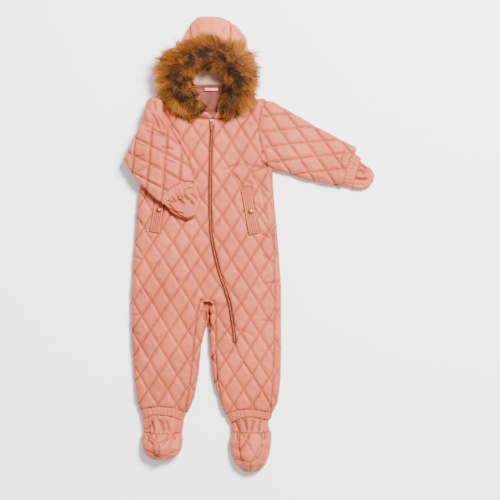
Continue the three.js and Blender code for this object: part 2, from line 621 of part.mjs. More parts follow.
function zipSlider() {
  const [w, l] = [SLIDER.width / 2, SLIDER.length / 2];
  const plan = [
    { x: -w, y: l }, { x: -w, y: -l * 0.3 }, { x: -w * 0.72, y: -l }, { x: w * 0.72, y: -l },
    { x: w, y: -l * 0.3 }, { x: w, y: l },
  ];
  const low = sliderLow - PIN.z;
  const bottom = prism(plan, low, low + SLIDER.height);
  const cheek = (side) => {
    const [x0, x1] = [CHEEK.inner, CHEEK.inner + CHEEK.thick].map((x) => side * x).sort((a, b) => a - b);
    return disc(CHEEK.radius, x0, x1).add(box(x0, x1, -CHEEK.radius, CHEEK.radius, low + 1, 0));
  };
  const pin = disc(PIN_RADIUS, -CHEEK.inner - 0.5, CHEEK.inner + 0.5);
  return wasm.Manifold.union([bottom, cheek(-1), cheek(1), pin]).translate([SLIDER.x, PIN.y, PIN.z]);
}

function zipPull() {
  const { half } = KNUCKLE;
  const [w, t] = [PULL.width / 2, PULL.thick / 2];
  const plate = [
    { x: -half, y: 0 }, { x: -half, y: -3 }, { x: -w, y: -4.5 }, { x: -w, y: -PULL.length + w },
    { x: -w * 0.6, y: -PULL.length }, { x: w * 0.6, y: -PULL.length }, { x: w, y: -PULL.length + w },
    { x: w, y: -4.5 }, { x: half, y: -3 }, { x: half, y: 0 },
  ];
  return disc(KNUCKLE.outer, -half, half)
    .add(prism(plate, -t, t))
    .subtract(disc(KNUCKLE.inner, -half - 1, half + 1))
    .rotate([PULL.droop, 0, 0])
    .translate([SLIDER.x, PIN.y, PIN.z]);
}

// ---------------------------------------------------------------- the suit
const leftWelt = weltOf(LEFT_WELT);
const rightWelt = weltOf(RIGHT_WELT);
const leftCuffEnd = { ax: LEFT_CUFF[1].bx, ay: LEFT_CUFF[1].by, bx: LEFT_CUFF[1].ax, by: LEFT_CUFF[1].ay };
const rightCuffEnd = { ax: RIGHT_CUFF[1].ax, ay: RIGHT_CUFF[1].ay, bx: RIGHT_CUFF[1].bx, by: RIGHT_CUFF[1].by };
const turned = ({ ax, ay, bx, by }) => ({ ax: bx, ay: by, bx: ax, by: ay });
const upperMitt = MITT_LAYER + SEAM;

const PIECES = [
  ['front_right', frontRight, CLOTH],
  ['front_left', frontLeft, CLOTH],
  ['back', back, CLOTH],
  ['hood_center', hoodCentre, CLOTH],
  ['hood_side_right', hoodSideRight, CLOTH],
  ['hood_side_left', hoodSideLeft, CLOTH],
  ['hood_lining', hoodLining, HOOD_INSIDE],
  ['neck_lining', neckLining, DARK_CLOTH],
  ['neck_label', neckLabel, LABEL],
  ['fur_trim', furTrim, FUR],
  ['sleeve_right', sleeveRight, CLOTH],
  ['sleeve_left', sleeveLeft, CLOTH],
  ['sleeve_cuff_right', sleeveCuffRight, CLOTH],
  ['sleeve_cuff_left', sleeveCuffLeft, CLOTH],
  ['mitten_back_right', mittLayer(RIGHT_MITT, SLEEVE_REST, turned(rightCuffEnd)), CLOTH],
  ['mitten_front_right', mittLayer(RIGHT_MITT, SLEEVE_REST + upperMitt, turned(rightCuffEnd)), CLOTH],
  ['mitten_back_left', mittLayer(LEFT_MITT, 0, turned(leftCuffEnd)), CLOTH],
  ['mitten_front_left', mittLayer(LEFT_MITT, upperMitt, turned(leftCuffEnd)), CLOTH],
  ['leg_cuff_right', legBand(RIGHT_LEG_CUFF, BAND_WALL, RIGHT_HEM, RIGHT_BAND_END), CLOTH],
  ['leg_cuff_left', legBand(LEFT_LEG_CUFF, BAND_WALL, LEFT_HEM, LEFT_BAND_END), CLOTH],
  ['ankle_right', legBand(RIGHT_ANKLE, ANKLE_WALL, RIGHT_BAND_END), CLOTH],
  ['ankle_left', legBand(LEFT_ANKLE, ANKLE_WALL, LEFT_BAND_END), CLOTH],
  ['bootie_vamp_right', rightBootie.vamp, CLOTH],
  ['bootie_wall_right', rightBootie.wall, CLOTH],
  ['bootie_sole_right', rightBootie.sole, CLOTH],
  ['bootie_vamp_left', leftBootie.vamp, CLOTH],
  ['bootie_wall_left', leftBootie.wall, CLOTH],
  ['bootie_sole_left', leftBootie.sole, CLOTH],
  ['pocket_welt_right', rightWelt, CLOTH],
  ['pocket_welt_left', leftWelt, CLOTH],
  ['snap_right', snap(SNAPS.right, rightWelt), BRASS],
  ['snap_left', snap(SNAPS.left, leftWelt), BRASS],
  ['zip_tape_right', tape(-SLOT_HALF + SEAM, -SEAM / 2), TAPE],
  ['zip_tape_left', tape(SEAM / 2, SLOT_HALF - SEAM), TAPE],
  ['zip_chain', zipChain, ROSE_COPPER],
  ['zip_slider', zipSlider(), ROSE_COPPER],
  ['zip_pull', zipPull(), ROSE_COPPER],
];

const group = new THREE.Group();
for (const [name, solid, look] of PIECES) {
  const mesh = new THREE.Mesh(geometryOf(solid), new THREE.MeshStandardMaterial(look));
  mesh.name = name;
  group.add(mesh);
}

export default group;
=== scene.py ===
"""A baby's quilted snowsuit, laid face up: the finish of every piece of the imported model.

Shapes are worked out in millimetres, like the model's tables, and become metres when a mesh is written.
"""

import math

import bpy
import numpy as np
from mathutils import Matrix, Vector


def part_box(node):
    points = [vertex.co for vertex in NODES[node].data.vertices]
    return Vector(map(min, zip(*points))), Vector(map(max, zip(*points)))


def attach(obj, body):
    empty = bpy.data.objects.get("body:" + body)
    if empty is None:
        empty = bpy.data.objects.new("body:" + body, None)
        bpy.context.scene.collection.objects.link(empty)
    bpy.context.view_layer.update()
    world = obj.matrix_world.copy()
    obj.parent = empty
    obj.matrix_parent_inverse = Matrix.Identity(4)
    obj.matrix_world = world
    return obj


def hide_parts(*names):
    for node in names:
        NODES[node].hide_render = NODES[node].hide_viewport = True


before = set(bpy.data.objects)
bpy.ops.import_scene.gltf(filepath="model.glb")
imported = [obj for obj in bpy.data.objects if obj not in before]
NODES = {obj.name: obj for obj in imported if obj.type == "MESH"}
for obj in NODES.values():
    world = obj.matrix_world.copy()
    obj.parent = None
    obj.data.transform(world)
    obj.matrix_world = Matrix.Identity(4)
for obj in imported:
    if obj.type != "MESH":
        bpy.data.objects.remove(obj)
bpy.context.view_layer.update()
MM = 0.001
SUIT = "suit"

# ------------------------------------------------------------------ sizes and lines, in mm
QUILT_DEPTH = 2.6        # from a diamond's middle down to its stitched line
QUILT_SHOULDER = 7.5     # how far from a line the wadding is back at its height
CREASE = 1.7             # half the width of the sharp crease at a stitched line
SEAM_DEPTH = 3.4
SEAM_SHOULDER = 6.5
TOPSTITCH = 7.5          # the line sewn beside the zip
ZIP_SHOULDER = 6.5
ZIP_DEPTH = 0.8
TOPSTITCH_DEPTH = 0.7
DEEP_FOLD = -1.7         # a fold deeper than this also shows as a painted shade line
LINE_HALF = 1.7
LINE_SHADE = 2.6
FAR = 99.0               # stands for "no seam near"

ZIP_LINE = [(-75.3, 248.4), (-78, 189), (-79.4, 128), (-79.4, 75), (-78, 26), (-75.4, 5), (-69, -25),
            (-61, -56), (-50, -87), (-41, -117), (-36, -148), (-32, -177), (-30, -194)]
BELOW_ZIP = [(-30, -194), (-25, -214), (41, -318)]
# The cloth's distances from the zip's line and from a seam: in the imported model, and as drawn together here.
ZIP_DRAW = (0, 4.4, 6.0, 8.5, 18), (3.7, 3.7, 4.0, 5.6, 18)
SEAM_DRAW = (0, 0.15, 1.6, 4, 9), (-0.9, -0.9, 0.2, 3.3, 9)
SIDE_SEAM = [(44, 160), (46, 107), (48, 57), (47, -35), (49, -97), (48, -169), (47, -211), (45, -277),
             (40, -336)]
INSEAM = [(-56, -336), (-60, -290), (-64, -266), (-67, -223), (-68, -192), (-68, -130), (-72, -112),
          (-84, -107), (-98, -110), (-104, -130), (-108, -158), (-112, -201), (-117, -255), (-121, -284),
          (-130, -336)]
LEFT_ARMHOLE = [(32, 292), (21, 262), (18, 233), (21, 199), (30, 176), (37, 157), (47, 149)]
RIGHT_HEM = [(-225, -332), (-209, -326), (-183, -322), (-153, -324), (-122, -335)]
LEFT_HEM = [(-52, -338), (-24, -329), (3, -327), (46, -335)]
RIGHT_BAND_END = [(-214, -349), (-196, -339), (-183, -338), (-158, -341), (-131, -351)]
LEFT_BAND_END = [(-39, -355), (-14, -344), (3, -342), (28, -347), (40, -350)]
RIGHT_ANKLE_END = [(-220, -374), (-126, -374)]
LEFT_ANKLE_END = [(-44, -373), (50, -373)]
HOOD_SEAMS = [[(-118, 345), (-118, 460)], [(-38, 345), (-38, 460)]]
LEFT_SLEEVE_CUT = [(212, 188), (198, 170), (190, 145), (185, 118)]
RIGHT_SLEEVE_CUT = [(-176, 84), (-170, 99), (-156, 110), (-142, 118), (-122, 124), (-108, 122)]
NECK_SEAM = [(-166, 280), (-148, 262), (-94, 249), (-57, 249), (-19, 262), (0, 280)]
LEFT_WELT = [(-18, 111), (0, 115), (17, 23), (-2, 19)]
RIGHT_WELT = [(-184, 108), (-166, 112), (-180, 22), (-199, 26)]

# Quilting: a line crossing, the diamonds' width and length, and the way that their length runs, in degrees.
QUILTS = {
    "front_right": {"x": -136, "y": -25, "across": 37.8, "along": 58.6, "turn": -90, "lean": 0.035},
    "front_left": {"x": -37, "y": -31, "across": 37.0, "along": 58.6, "turn": -90, "lean": 0.0},
    "back": {"x": 55, "y": -20, "across": 37.8, "along": 58.6, "turn": -90, "lean": 0.0},
    "bootie_vamp_left": {"x": -8, "y": -388, "across": 37.0, "along": 58.6, "turn": -90, "lean": 0.0},
    "sleeve_left": {"x": 78.4, "y": 198.6, "across": 35.9, "along": 58.6, "turn": -24.5, "lean": 0.0},
    "sleeve_right": {
        "x": -196.4, "y": 194, "across": 38.6, "along": 57.0, "turn": -61.5, "lean": 0.0,
        "plain_above": (216, 256),
    },
}

# ------------------------------------------------------------------ numbers over arrays
def smoothstep(low, high, value):
    t = np.clip((value - low) / (high - low), 0, 1)
    return t * t * (3 - 2 * t)


def noise(u, v, seed):
    """Smooth noise from -1 to 1 over the arrays u and v, one bump to a unit."""
    grid = np.random.RandomState(seed).uniform(-1, 1, (128, 128))
    iu, iv = np.floor(u).astype(int), np.floor(v).astype(int)
    fu, fv = u - iu, v - iv
    fu, fv = fu * fu * (3 - 2 * fu), fv * fv * (3 - 2 * fv)
    a, b = grid[iu % 128, iv % 128], grid[(iu + 1) % 128, iv % 128]
    c, d = grid[iu % 128, (iv + 1) % 128], grid[(iu + 1) % 128, (iv + 1) % 128]
    return (a * (1 - fu) + b * fu) * (1 - fv) + (c * (1 - fu) + d * fu) * fv


def soft_noise(u, v, seed):
    return 0.65 * noise(u, v, seed) + 0.35 * noise(2.1 * u + 7.3, 2.1 * v + 3.1, seed + 1)


def distance_to(x, y, line):
    """How far the points are from a line through a list of points, and how far along it they lie."""
    best = np.full(x.shape, 1e9)
    place = np.zeros(x.shape)
    run = 0.0
    for (ax, ay), (bx, by) in zip(line, line[1:]):
        length = math.hypot(bx - ax, by - ay)
        ux, uy = (bx - ax) / length, (by - ay) / length
        t = np.clip((x - ax) * ux + (y - ay) * uy, 0, length)
        d = np.hypot(x - ax - t * ux, y - ay - t * uy)
        nearer = d < best
        best = np.where(nearer, d, best)
        place = np.where(nearer, run + t, place)
        run += length
    return best, place


# ------------------------------------------------------------------ meshes
def coords_of(mesh):
    flat = np.empty(len(mesh.vertices) * 3)
    mesh.vertices.foreach_get("co", flat)
    return flat.reshape(-1, 3) / MM


def normals_of(mesh):
    flat = np.empty(len(mesh.vertices) * 3)
    mesh.vertex_normals.foreach_get("vector", flat)
    return flat.reshape(-1, 3)


def write_coords(mesh, points):
    mesh.vertices.foreach_set("co", (points * MM).ravel())
    mesh.update()


def attribute(mesh, name, values):
    layer = mesh.attributes.new(name, "FLOAT_VECTOR", "POINT")
    layer.data.foreach_set("vector", np.asarray(values, dtype=np.float32).ravel())


def add_object(name, mesh, body=SUIT):
    obj = bpy.data.objects.new(name, mesh)
    bpy.context.scene.collection.objects.link(obj)
    mesh.polygons.foreach_set("use_smooth", [True] * len(mesh.polygons))
    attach(obj, body)
    return obj


def mesh_from(name, points, faces):
    mesh = bpy.data.meshes.new(name)
    mesh.from_pydata((np.asarray(points) * MM).tolist(), [], [tuple(f) for f in faces])
    mesh.validate()
    mesh.update()
    return mesh


def baked(obj, *modifiers):
    """The object's mesh after these modifiers, given as (type, settings)."""
    for kind, settings in modifiers:
        modifier = obj.modifiers.new(kind.title(), kind)
        for key, value in settings.items():
            setattr(modifier, key, value)
    graph = bpy.context.evaluated_depsgraph_get()
    mesh = bpy.data.meshes.new_from_object(obj.evaluated_get(graph))
    obj.modifiers.clear()
    return mesh


def dense_copy(node, voxel, relax, tall=1.0):
    """A node's own form as an even, dense mesh with softened edges.

    tall draws it out upward for the while, which keeps the thin air inside a flattened tube open.
    """
    data = NODES[node].data.copy()
    write_coords(data, coords_of(data) * (1, 1, tall))
    source = bpy.data.objects.new(node + "_source", data)
    bpy.context.scene.collection.objects.link(source)
    mesh = baked(
        source,
        ("REMESH", {"mode": "VOXEL", "voxel_size": voxel * MM}),
        ("SMOOTH", {"factor": 0.5, "iterations": relax}),
    )
    bpy.data.objects.remove(source)
    mesh.materials.clear()
    write_coords(mesh, coords_of(mesh) / (1, 1, tall))
    return mesh


# ------------------------------------------------------------------ cloth shapes
def quilt_lines(x, y, quilt):
    """How many stitched lines of each family lie between a point and the quilt's crossing."""
    turn = math.radians(quilt["turn"])
    dx = x - quilt["x"] + quilt["lean"] * np.maximum(0, quilt["y"] - y)
    dy = y - quilt["y"]
    along = dx * math.cos(turn) + dy * math.sin(turn)
    across = -dx * math.sin(turn) + dy * math.cos(turn)
    s, t = across / quilt["across"], along / quilt["along"]
    return t + s, t - s


def line_pitch(quilt):
    return 1 / math.hypot(1 / quilt["across"], 1 / quilt["along"])


def pillow(distance, shoulder):
    """0 on a stitched line, 1 from the shoulder on, with a steep start like cloth pulled in by a thread."""
    t = np.clip(distance / shoulder, 0, 1)
    return 1 - (1 - t) ** 2.2


def facing_out(normals):
    """1 on the faces that are turned up, a little on the upright ones, 0 underneath."""
    return 0.22 * smoothstep(-0.6, 0.0, normals[:, 2]) + 0.78 * smoothstep(0.05, 0.6, normals[:, 2])


def quilted(mesh, quilt, seams, seed, depth=QUILT_DEPTH, inside_below=0.0, folds=(), outlines=()):
    """Pulls a panel's outer face in along its quilting and its seams, and wrinkles it beside them."""
    points, normals = coords_of(mesh), normals_of(mesh)
    x, y, z = points.T.copy()
    wobble_x = 1.1 * soft_noise(x / 42, y / 42, seed)
    wobble_y = 1.1 * soft_noise(x / 42 + 9, y / 42 + 4, seed + 5)
    first, second = quilt_lines(x + wobble_x, y + wobble_y, quilt)
    pitch = line_pitch(quilt)
    away = [np.abs(v - np.round(v)) * pitch for v in (first, second)]
    near_seam = np.full(x.shape, 1e9)
    seam_place = np.zeros(x.shape)
    for seam in (*seams, *outlines):
        d, place = distance_to(x, y, seam)
        seam_place = np.where(d < near_seam, place, seam_place)
        near_seam = np.minimum(near_seam, d)
    near_zip, zip_place = distance_to(x, y, ZIP_LINE)
    by_line = pillow(away[0], QUILT_SHOULDER) * pillow(away[1], QUILT_SHOULDER)
    fullness = 1 + 0.22 * noise(np.round(first - 0.5) * 1.7 + seed, np.round(second - 0.5) * 1.3, seed + 2)
    near_line = np.minimum(away[0], away[1])
    crease = np.exp(-((away[0] / CREASE) ** 2)) + 0.8 * np.exp(-((away[1] / CREASE) ** 2))
    pucker = noise(x / 5.5 + y / 19, y / 6.5 - x / 23, seed + 3) * np.exp(-near_line / 5.0) * 0.7
    seam_pucker = noise(seam_place / 4.6, near_seam / 16 + seed, seed + 7) * np.exp(-near_seam / 7.5) * 1.1
    crumple = 0.75 * soft_noise(x / 17, y / 17, seed + 9) + 0.4 * soft_noise(x / 7, y / 8, seed + 11)
    weight = 1 - 0.85 * smoothstep(*quilt["plain_above"], y) if "plain_above" in quilt else np.ones_like(x)
    rise = (depth * (by_line * fullness - 0.72) - 1.3 * crease) * weight + pucker + crumple
    at_seam = pillow(near_seam, SEAM_SHOULDER)
    rise = rise * at_seam - SEAM_DEPTH * (1 - at_seam) + seam_pucker
    at_zip = pillow(near_zip, ZIP_SHOULDER)
    zip_pucker = 0.3 * noise(zip_place / 6, near_zip / 9, seed) * np.exp(-near_zip / 9)
    rise = rise * at_zip - ZIP_DEPTH * (1 - at_zip) + zip_pucker
    rise -= TOPSTITCH_DEPTH * np.exp(-(((near_zip - TOPSTITCH) / 1.2) ** 2))
    rise += folded(x, y, folds)
    outer = facing_out(normals) * (z > inside_below)
    held = np.exp(-np.minimum(near_seam, near_zip) / 3.0)[:, None]
    way = normals * (1 - held) + np.array([0, 0, 1]) * np.clip(normals[:, 2:3], 0, 1) * held
    points = points + way * (rise * outer)[:, None]
    draws = [(seam, SEAM_DRAW) for seam in seams] + [(ZIP_LINE, ZIP_DRAW)]
    shade = shaded_by(x, y, folds, near_seam)
    return laid(mesh, points, draws, first, second, shade, near_zip, weight)


def tell_lines(mesh, first, second, seam, near_zip=FAR, weight=1.0):
    """Tells the material how far each point is from the quilting's lines, a seam and the zip, along which it
    paints shade.
    """
    blank = np.zeros(len(mesh.vertices))
    attribute(mesh, "quilt", np.stack([blank + first, blank + second, seam], axis=1))
    attribute(mesh, "placket", np.stack([blank + near_zip, blank + weight, blank], axis=1))


def laid(mesh, points, draws, *told):
    """Draws the cloth together at its seams, keeps it above the floor, and tells the material of its lines."""
    for line, distances in draws:
        points = drawn_to(points, line, *distances)
    points[:, 2] = np.maximum(points[:, 2], 0.0)
    write_coords(mesh, points)
    tell_lines(mesh, *told)
    return mesh


def drawn_to(points, line, now, wanted):
    """Moves the cloth beside a line sideways, from these distances from it to the wanted ones."""
    x, y = points[:, 0], points[:, 1]
    steps = ((0, 0), (0.05, 0), (0, 0.05))
    away, ahead, above = (distance_to(x + dx, y + dy, line)[0] for dx, dy in steps)
    out = np.stack([ahead - away, above - away], axis=1)
    out /= np.maximum(np.linalg.norm(out, axis=1), 1e-6)[:, None]
    shift = np.interp(away, now, wanted) - away
    points[:, :2] += out * (shift * (away < now[-1]))[:, None]
    return points


def fold(start, end, width, depth, bend=0):
    """A soft trough (depth below 0) or ridge; bend is how far its middle bows sideways."""
    return {"a": start, "b": end, "width": width, "depth": depth, "bend": bend}


def folded(x, y, folds):
    """How much the folds raise the cloth."""
    total = np.zeros(x.shape)
    for one in folds:
        (ax, ay), (bx, by) = one["a"], one["b"]
        length = math.hypot(bx - ax, by - ay)
        ux, uy = (bx - ax) / length, (by - ay) / length
        t = ((x - ax) * ux + (y - ay) * uy) / length
        bend = one["bend"] * (1 - (2 * t - 1) ** 2)
        side = -(x - ax) * uy + (y - ay) * ux - bend
        ends = smoothstep(-0.08, 0.25, t) * (1 - smoothstep(0.75, 1.08, t))
        total += one["depth"] * np.exp(-((side / one["width"]) ** 2)) * ends
    return total


def shaded_by(x, y, folds, near_seam):
    """The distance to a seam, less where a fold is so deep that the material paints a shade line along it too.
    """
    lines = [
        dict(one, width=min(0.5 * one["width"], LINE_HALF), depth=-1.0)
        for one in folds if one["depth"] < DEEP_FOLD
    ]
    return np.minimum(near_seam, LINE_SHADE * (1 - np.clip(-folded(x, y, lines), 0, 1)))


def soft_cloth(mesh, seed, seams=(), folds=(), crumple=0.7, seam_depth=2.2, shoulder=6.0, inflate=0.0,
               size=14, quilt=None):
    """Plain cloth: seams drawn together and in, listed folds and a fine crumple."""
    points, normals = coords_of(mesh), normals_of(mesh)
    x, y, z = points.T.copy()
    rise = np.full(x.shape, float(inflate))
    near_seam = np.full(x.shape, FAR)
    for seam in seams:
        d, place = distance_to(x, y, seam)
        rise -= seam_depth * (1 - pillow(d, shoulder))
        rise += noise(place / 4.2, d / 14 + seed, seed + 2) * np.exp(-d / 6.0) * 0.8
        near_seam = np.minimum(near_seam, d)
    rise += crumple * soft_noise(x / size, y / size + z / size, seed) + folded(x, y, folds)
    first = second = 0.5
    if quilt:
        first, second = quilt_lines(x, y, quilt)
        away = [np.abs(v - np.round(v)) * line_pitch(quilt) for v in (first, second)]
        rise += 1.6 * pillow(away[0], 7) * pillow(away[1], 7) - 1.0
    points = points + normals * (rise * facing_out(normals))[:, None]
    draws = [(seam, SEAM_DRAW) for seam in seams]
    return laid(mesh, points, draws, first, second, shaded_by(x, y, folds, near_seam))


def gathered(mesh, line, seed, pitch, depth, seams=(), folds=(), crumple=0.4):
    """An elastic band or a gathered tube: full folds with sharp valleys, across the line of the band."""
    points, normals = coords_of(mesh), normals_of(mesh)
    x, y = points[:, :2].T.copy()
    d, place = distance_to(x, y, line)
    wander = 0.55 * noise(place / 15, 0 * place, seed) + 0.35 * noise(place / 7, d / 15, seed + 1)
    ripple = np.abs(np.sin(math.pi * (place / pitch + wander))) ** 0.7
    strength = np.clip(0.62 + 0.5 * noise(place / 11 + 5, d / 12, seed + 4), 0.15, 1.1)
    rise = depth * (ripple - 0.75) * strength
    rise = rise + crumple * soft_noise(x / 9, y / 9, seed + 6) + folded(x, y, folds)
    near_seam = np.full(x.shape, FAR)
    for seam in seams:
        off = distance_to(x, y, seam)[0]
        rise -= 1.2 * (1 - pillow(off, 4))
        near_seam = np.minimum(near_seam, off)
    points = points + normals * (rise * smoothstep(-0.6, 0.1, normals[:, 2]))[:, None]
    draws = [(seam, SEAM_DRAW) for seam in seams]
    return laid(mesh, points, draws, 0.5, 0.5, shaded_by(x, y, folds, near_seam))


# ------------------------------------------------------------------ materials
def srgb(red, green, blue):
    """A colour named as it looks on a screen, from 0 to 255, as the shader takes it."""
    def linear(value):
        value /= 255
        return value / 12.92 if value <= 0.04045 else ((value + 0.055) / 1.055) ** 2.4
    return (linear(red), linear(green), linear(blue), 1)


class Shader:
    """A material's node tree with short ways to add to it."""

    def __init__(self, name):
        self.material = bpy.data.materials.new(name)
        self.material.use_nodes = True
        self.tree = self.material.node_tree
        self.main = self.tree.nodes["Principled BSDF"]

    def add(self, kind, **settings):
        node = self.tree.nodes.new(kind)
        for key, value in settings.items():
            if hasattr(node, key):
                setattr(node, key, value)
            else:
                node.inputs[key].default_value = value
        return node

    def link(self, source, target):
        self.tree.links.new(source, target)

    def place(self):
        return self.add("ShaderNodeTexCoord").outputs["Object"]

    def told(self, name):
        """An attribute that the mesh carries."""
        return self.add("ShaderNodeAttribute", attribute_name=name).outputs["Vector"]

    def parts(self, vector):
        split = self.add("ShaderNodeSeparateXYZ")
        self.link(vector, split.inputs[0])
        return tuple(split.outputs)

    def math(self, operation, a, b=None):
        node = self.add("ShaderNodeMath", operation=operation)
        for socket, value in zip(node.inputs, (a, b)):
            if value is None:
                continue
            if isinstance(value, (int, float)):
                socket.default_value = value
            else:
                self.link(value, socket)
        return node.outputs[0]

    def noise(self, place, scale, detail=2.0, stretch=None):
        if stretch:
            mapping = self.add("ShaderNodeMapping")
            mapping.inputs["Scale"].default_value = stretch
            self.link(place, mapping.inputs["Vector"])
            place = mapping.outputs[0]
        node = self.add("ShaderNodeTexNoise", Scale=scale, Detail=detail)
        self.link(place, node.inputs["Vector"])
        return node.outputs["Fac"]

    def mix(self, factor, a, b):
        node = self.add("ShaderNodeMix", data_type="RGBA")
        for socket, value in zip((node.inputs[0], node.inputs[6], node.inputs[7]), (factor, a, b)):
            if isinstance(value, (int, float, tuple)):
                socket.default_value = value
            else:
                self.link(value, socket)
        return node.outputs[2]

    def ramp(self, factor, *stops):
        node = self.add("ShaderNodeValToRGB")
        ramp = node.color_ramp
        while len(ramp.elements) < len(stops):
            ramp.elements.new(0.5)
        for element, (place, colour) in zip(ramp.elements, stops):
            element.position = place
            element.color = colour
        self.link(factor, node.inputs[0])
        return node.outputs[0]

    def near(self, distance, reach):
        """1 where the distance is 0, falling to 0 at the reach."""
        return self.math("SUBTRACT", 1.0, self.math("MINIMUM", self.math("DIVIDE", distance, reach), 1.0))

    def bump(self, height, strength, distance_mm, under=None):
        node = self.add("ShaderNodeBump", Strength=strength, Distance=distance_mm * MM)
        self.link(height, node.inputs["Height"])
        if under:
            self.link(under, node.inputs["Normal"])
        return node.outputs[0]

    def finish(self, colour, normal, roughness=None, **fixed):
        self.link(colour, self.main.inputs["Base Color"])
        self.link(normal, self.main.inputs["Normal"])
        if roughness is not None:
            self.link(roughness, self.main.inputs["Roughness"])
        for key, value in fixed.items():
            self.main.inputs[key.replace("_", " ")].default_value = value
        return self.material


def between(shader, value, low, high):
    """value, 0 to 1, spread from low to high."""
    return shader.math("ADD", shader.math("MULTIPLY", value, high - low), low)


def weave_height(shader, place, threads_per_mm):
    """The fine over and under of a plain weave."""
    turns = threads_per_mm * math.pi / MM
    x, y = (shader.math("SINE", shader.math("MULTIPLY", part, turns)) for part in shader.parts(place)[:2])
    return shader.math("MULTIPLY", x, y)


# Stitched lines, in parts of the way from one line to the next; LINE_REACH is how far the painted shade beside
# a quilting line reaches.
LINE_REACH = 0.050
THREAD_HALF = 0.012
STITCHES = 10
STITCH_GAP = 0.3
SEAM_SHADE = 2.2         # mm
# How much darker than the cloth's shade colour the painted crease shade is.
CREASE_DIM = (0.52, 0.56, 0.66)


def woven_cloth(name, base, shade, light, stitched=False, sheen=0.06, rough=(0.5, 0.62), crinkle=0.35):
    """Dense woven nylon: soft patches of colour, crinkles, a weave, and stitched lines where it is quilted,
    with painted shade along its seams, quilting lines, deep folds and topstitching.
    """
    s = Shader(name)
    place = s.place()
    cloudy = s.noise(place, 16, 3)
    fine = s.noise(place, 140, 3)
    colour = s.ramp(cloudy, (0.32, srgb(*shade)), (0.5, srgb(*base)), (0.7, srgb(*light)))
    colour = s.mix(s.math("MULTIPLY", fine, 0.22), colour, srgb(*shade))
    height = s.noise(place, 75, 4)
    crinkled = s.bump(height, crinkle, 1.6)
    normal = s.bump(weave_height(s, place, 1.1), 0.10, 0.12, crinkled)
    if stitched:
        first, second, seam = s.parts(s.told("quilt"))
        from_zip, lined = s.parts(s.told("placket"))[:2]
        topstitch = s.near(s.math("ABSOLUTE", s.math("SUBTRACT", from_zip, TOPSTITCH)), 0.9)
        crease = s.math("MULTIPLY", s.near(seam, SEAM_SHADE), 1.0)
        stitches = None
        for here, along, strength in ((first, second, 1.0), (second, first, 0.75)):
            # Both count lines, which are 31 to 32 mm apart; 100 keeps the counts above 0.
            gap = s.math("ABSOLUTE", s.math("SUBTRACT", s.math("FRACT", s.math("ADD", here, 100.5)), 0.5))
            line = s.math("MULTIPLY", s.near(gap, LINE_REACH), s.math("MULTIPLY", lined, strength))
            crease = s.math("MAXIMUM", crease, line)
            count = s.math("MULTIPLY", s.math("ADD", along, 100), STITCHES)
            stitch = s.math("GREATER_THAN", s.math("FRACT", count), STITCH_GAP)
            one = s.math("MULTIPLY", s.math("LESS_THAN", gap, THREAD_HALF), stitch)
            stitches = one if stitches is None else s.math("MAXIMUM", stitches, one)
        crease = s.math("MAXIMUM", crease, s.math("MULTIPLY", topstitch, 0.6))
        # Painted shade: near seams, quilting lines, deep folds and the topstitching, the colour is mixed
        # towards a dimmed shadow colour, patchy by noise.
        wear_and_painted_shade = s.math("MULTIPLY", crease, between(s, s.noise(place, 60, 2), 0.2, 1.0))
        shadow = srgb(*(value * dim for value, dim in zip(shade, CREASE_DIM)))
        colour = s.mix(s.math("MULTIPLY", wear_and_painted_shade, 0.95), colour, shadow)
        normal = s.bump(s.math("SUBTRACT", 1.0, crease), 0.8, 0.9, normal)
        normal = s.bump(stitches, 0.4, 0.3, normal)
    return s.finish(
        colour, normal, between(s, fine, *rough),
        Sheen_Weight=sheen, Sheen_Roughness=0.45, Specular_IOR_Level=0.22,
    )


def metal(name, base, wear_and_painted_shade, rough=(0.25, 0.42)):
    s = Shader(name)
    place = s.place()
    rub = s.noise(place, 420, 4)
    colour = s.mix(rub, srgb(*base), srgb(*wear_and_painted_shade))
    normal = s.bump(s.noise(place, 2600, 2, stretch=(1, 0.15, 1)), 0.18, 0.05)
    return s.finish(colour, normal, between(s, rub, *rough), Metallic=0.95)


def fur_material():
    """Each hair's strand attribute holds its way from root to tip, its own tint, and how golden it is."""
    s = Shader("fur_strands")
    along, tint, gold = s.parts(s.told("strand"))
    dark = s.ramp(
        along, (0.0, srgb(14, 7, 3)), (0.35, srgb(24, 12, 5)), (0.75, srgb(42, 22, 9)), (1, srgb(74, 44, 20)),
    )
    bright = s.ramp(
        along, (0.0, srgb(34, 15, 5)), (0.3, srgb(86, 43, 12)), (0.65, srgb(150, 86, 26)),
        (1, srgb(194, 132, 58)),
    )
    colour = s.mix(gold, dark, bright)
    colour = s.mix(s.math("MULTIPLY", tint, 0.7), colour, srgb(26, 11, 4))
    place = s.place()
    normal = s.bump(s.noise(place, 900, 2), 0.15, 0.1)
    return s.finish(colour, normal, between(s, tint, 0.55, 0.7), Specular_IOR_Level=0.07)


def fur_skin():
    """The dense dark underfur."""
    s = Shader("underfur")
    place = s.place()
    colour = s.mix(s.noise(place, 120, 3), srgb(30, 15, 7), srgb(58, 31, 14))
    return s.finish(colour, s.bump(s.noise(place, 700, 3), 0.8, 1.5), Roughness=0.95, Specular_IOR_Level=0.03)


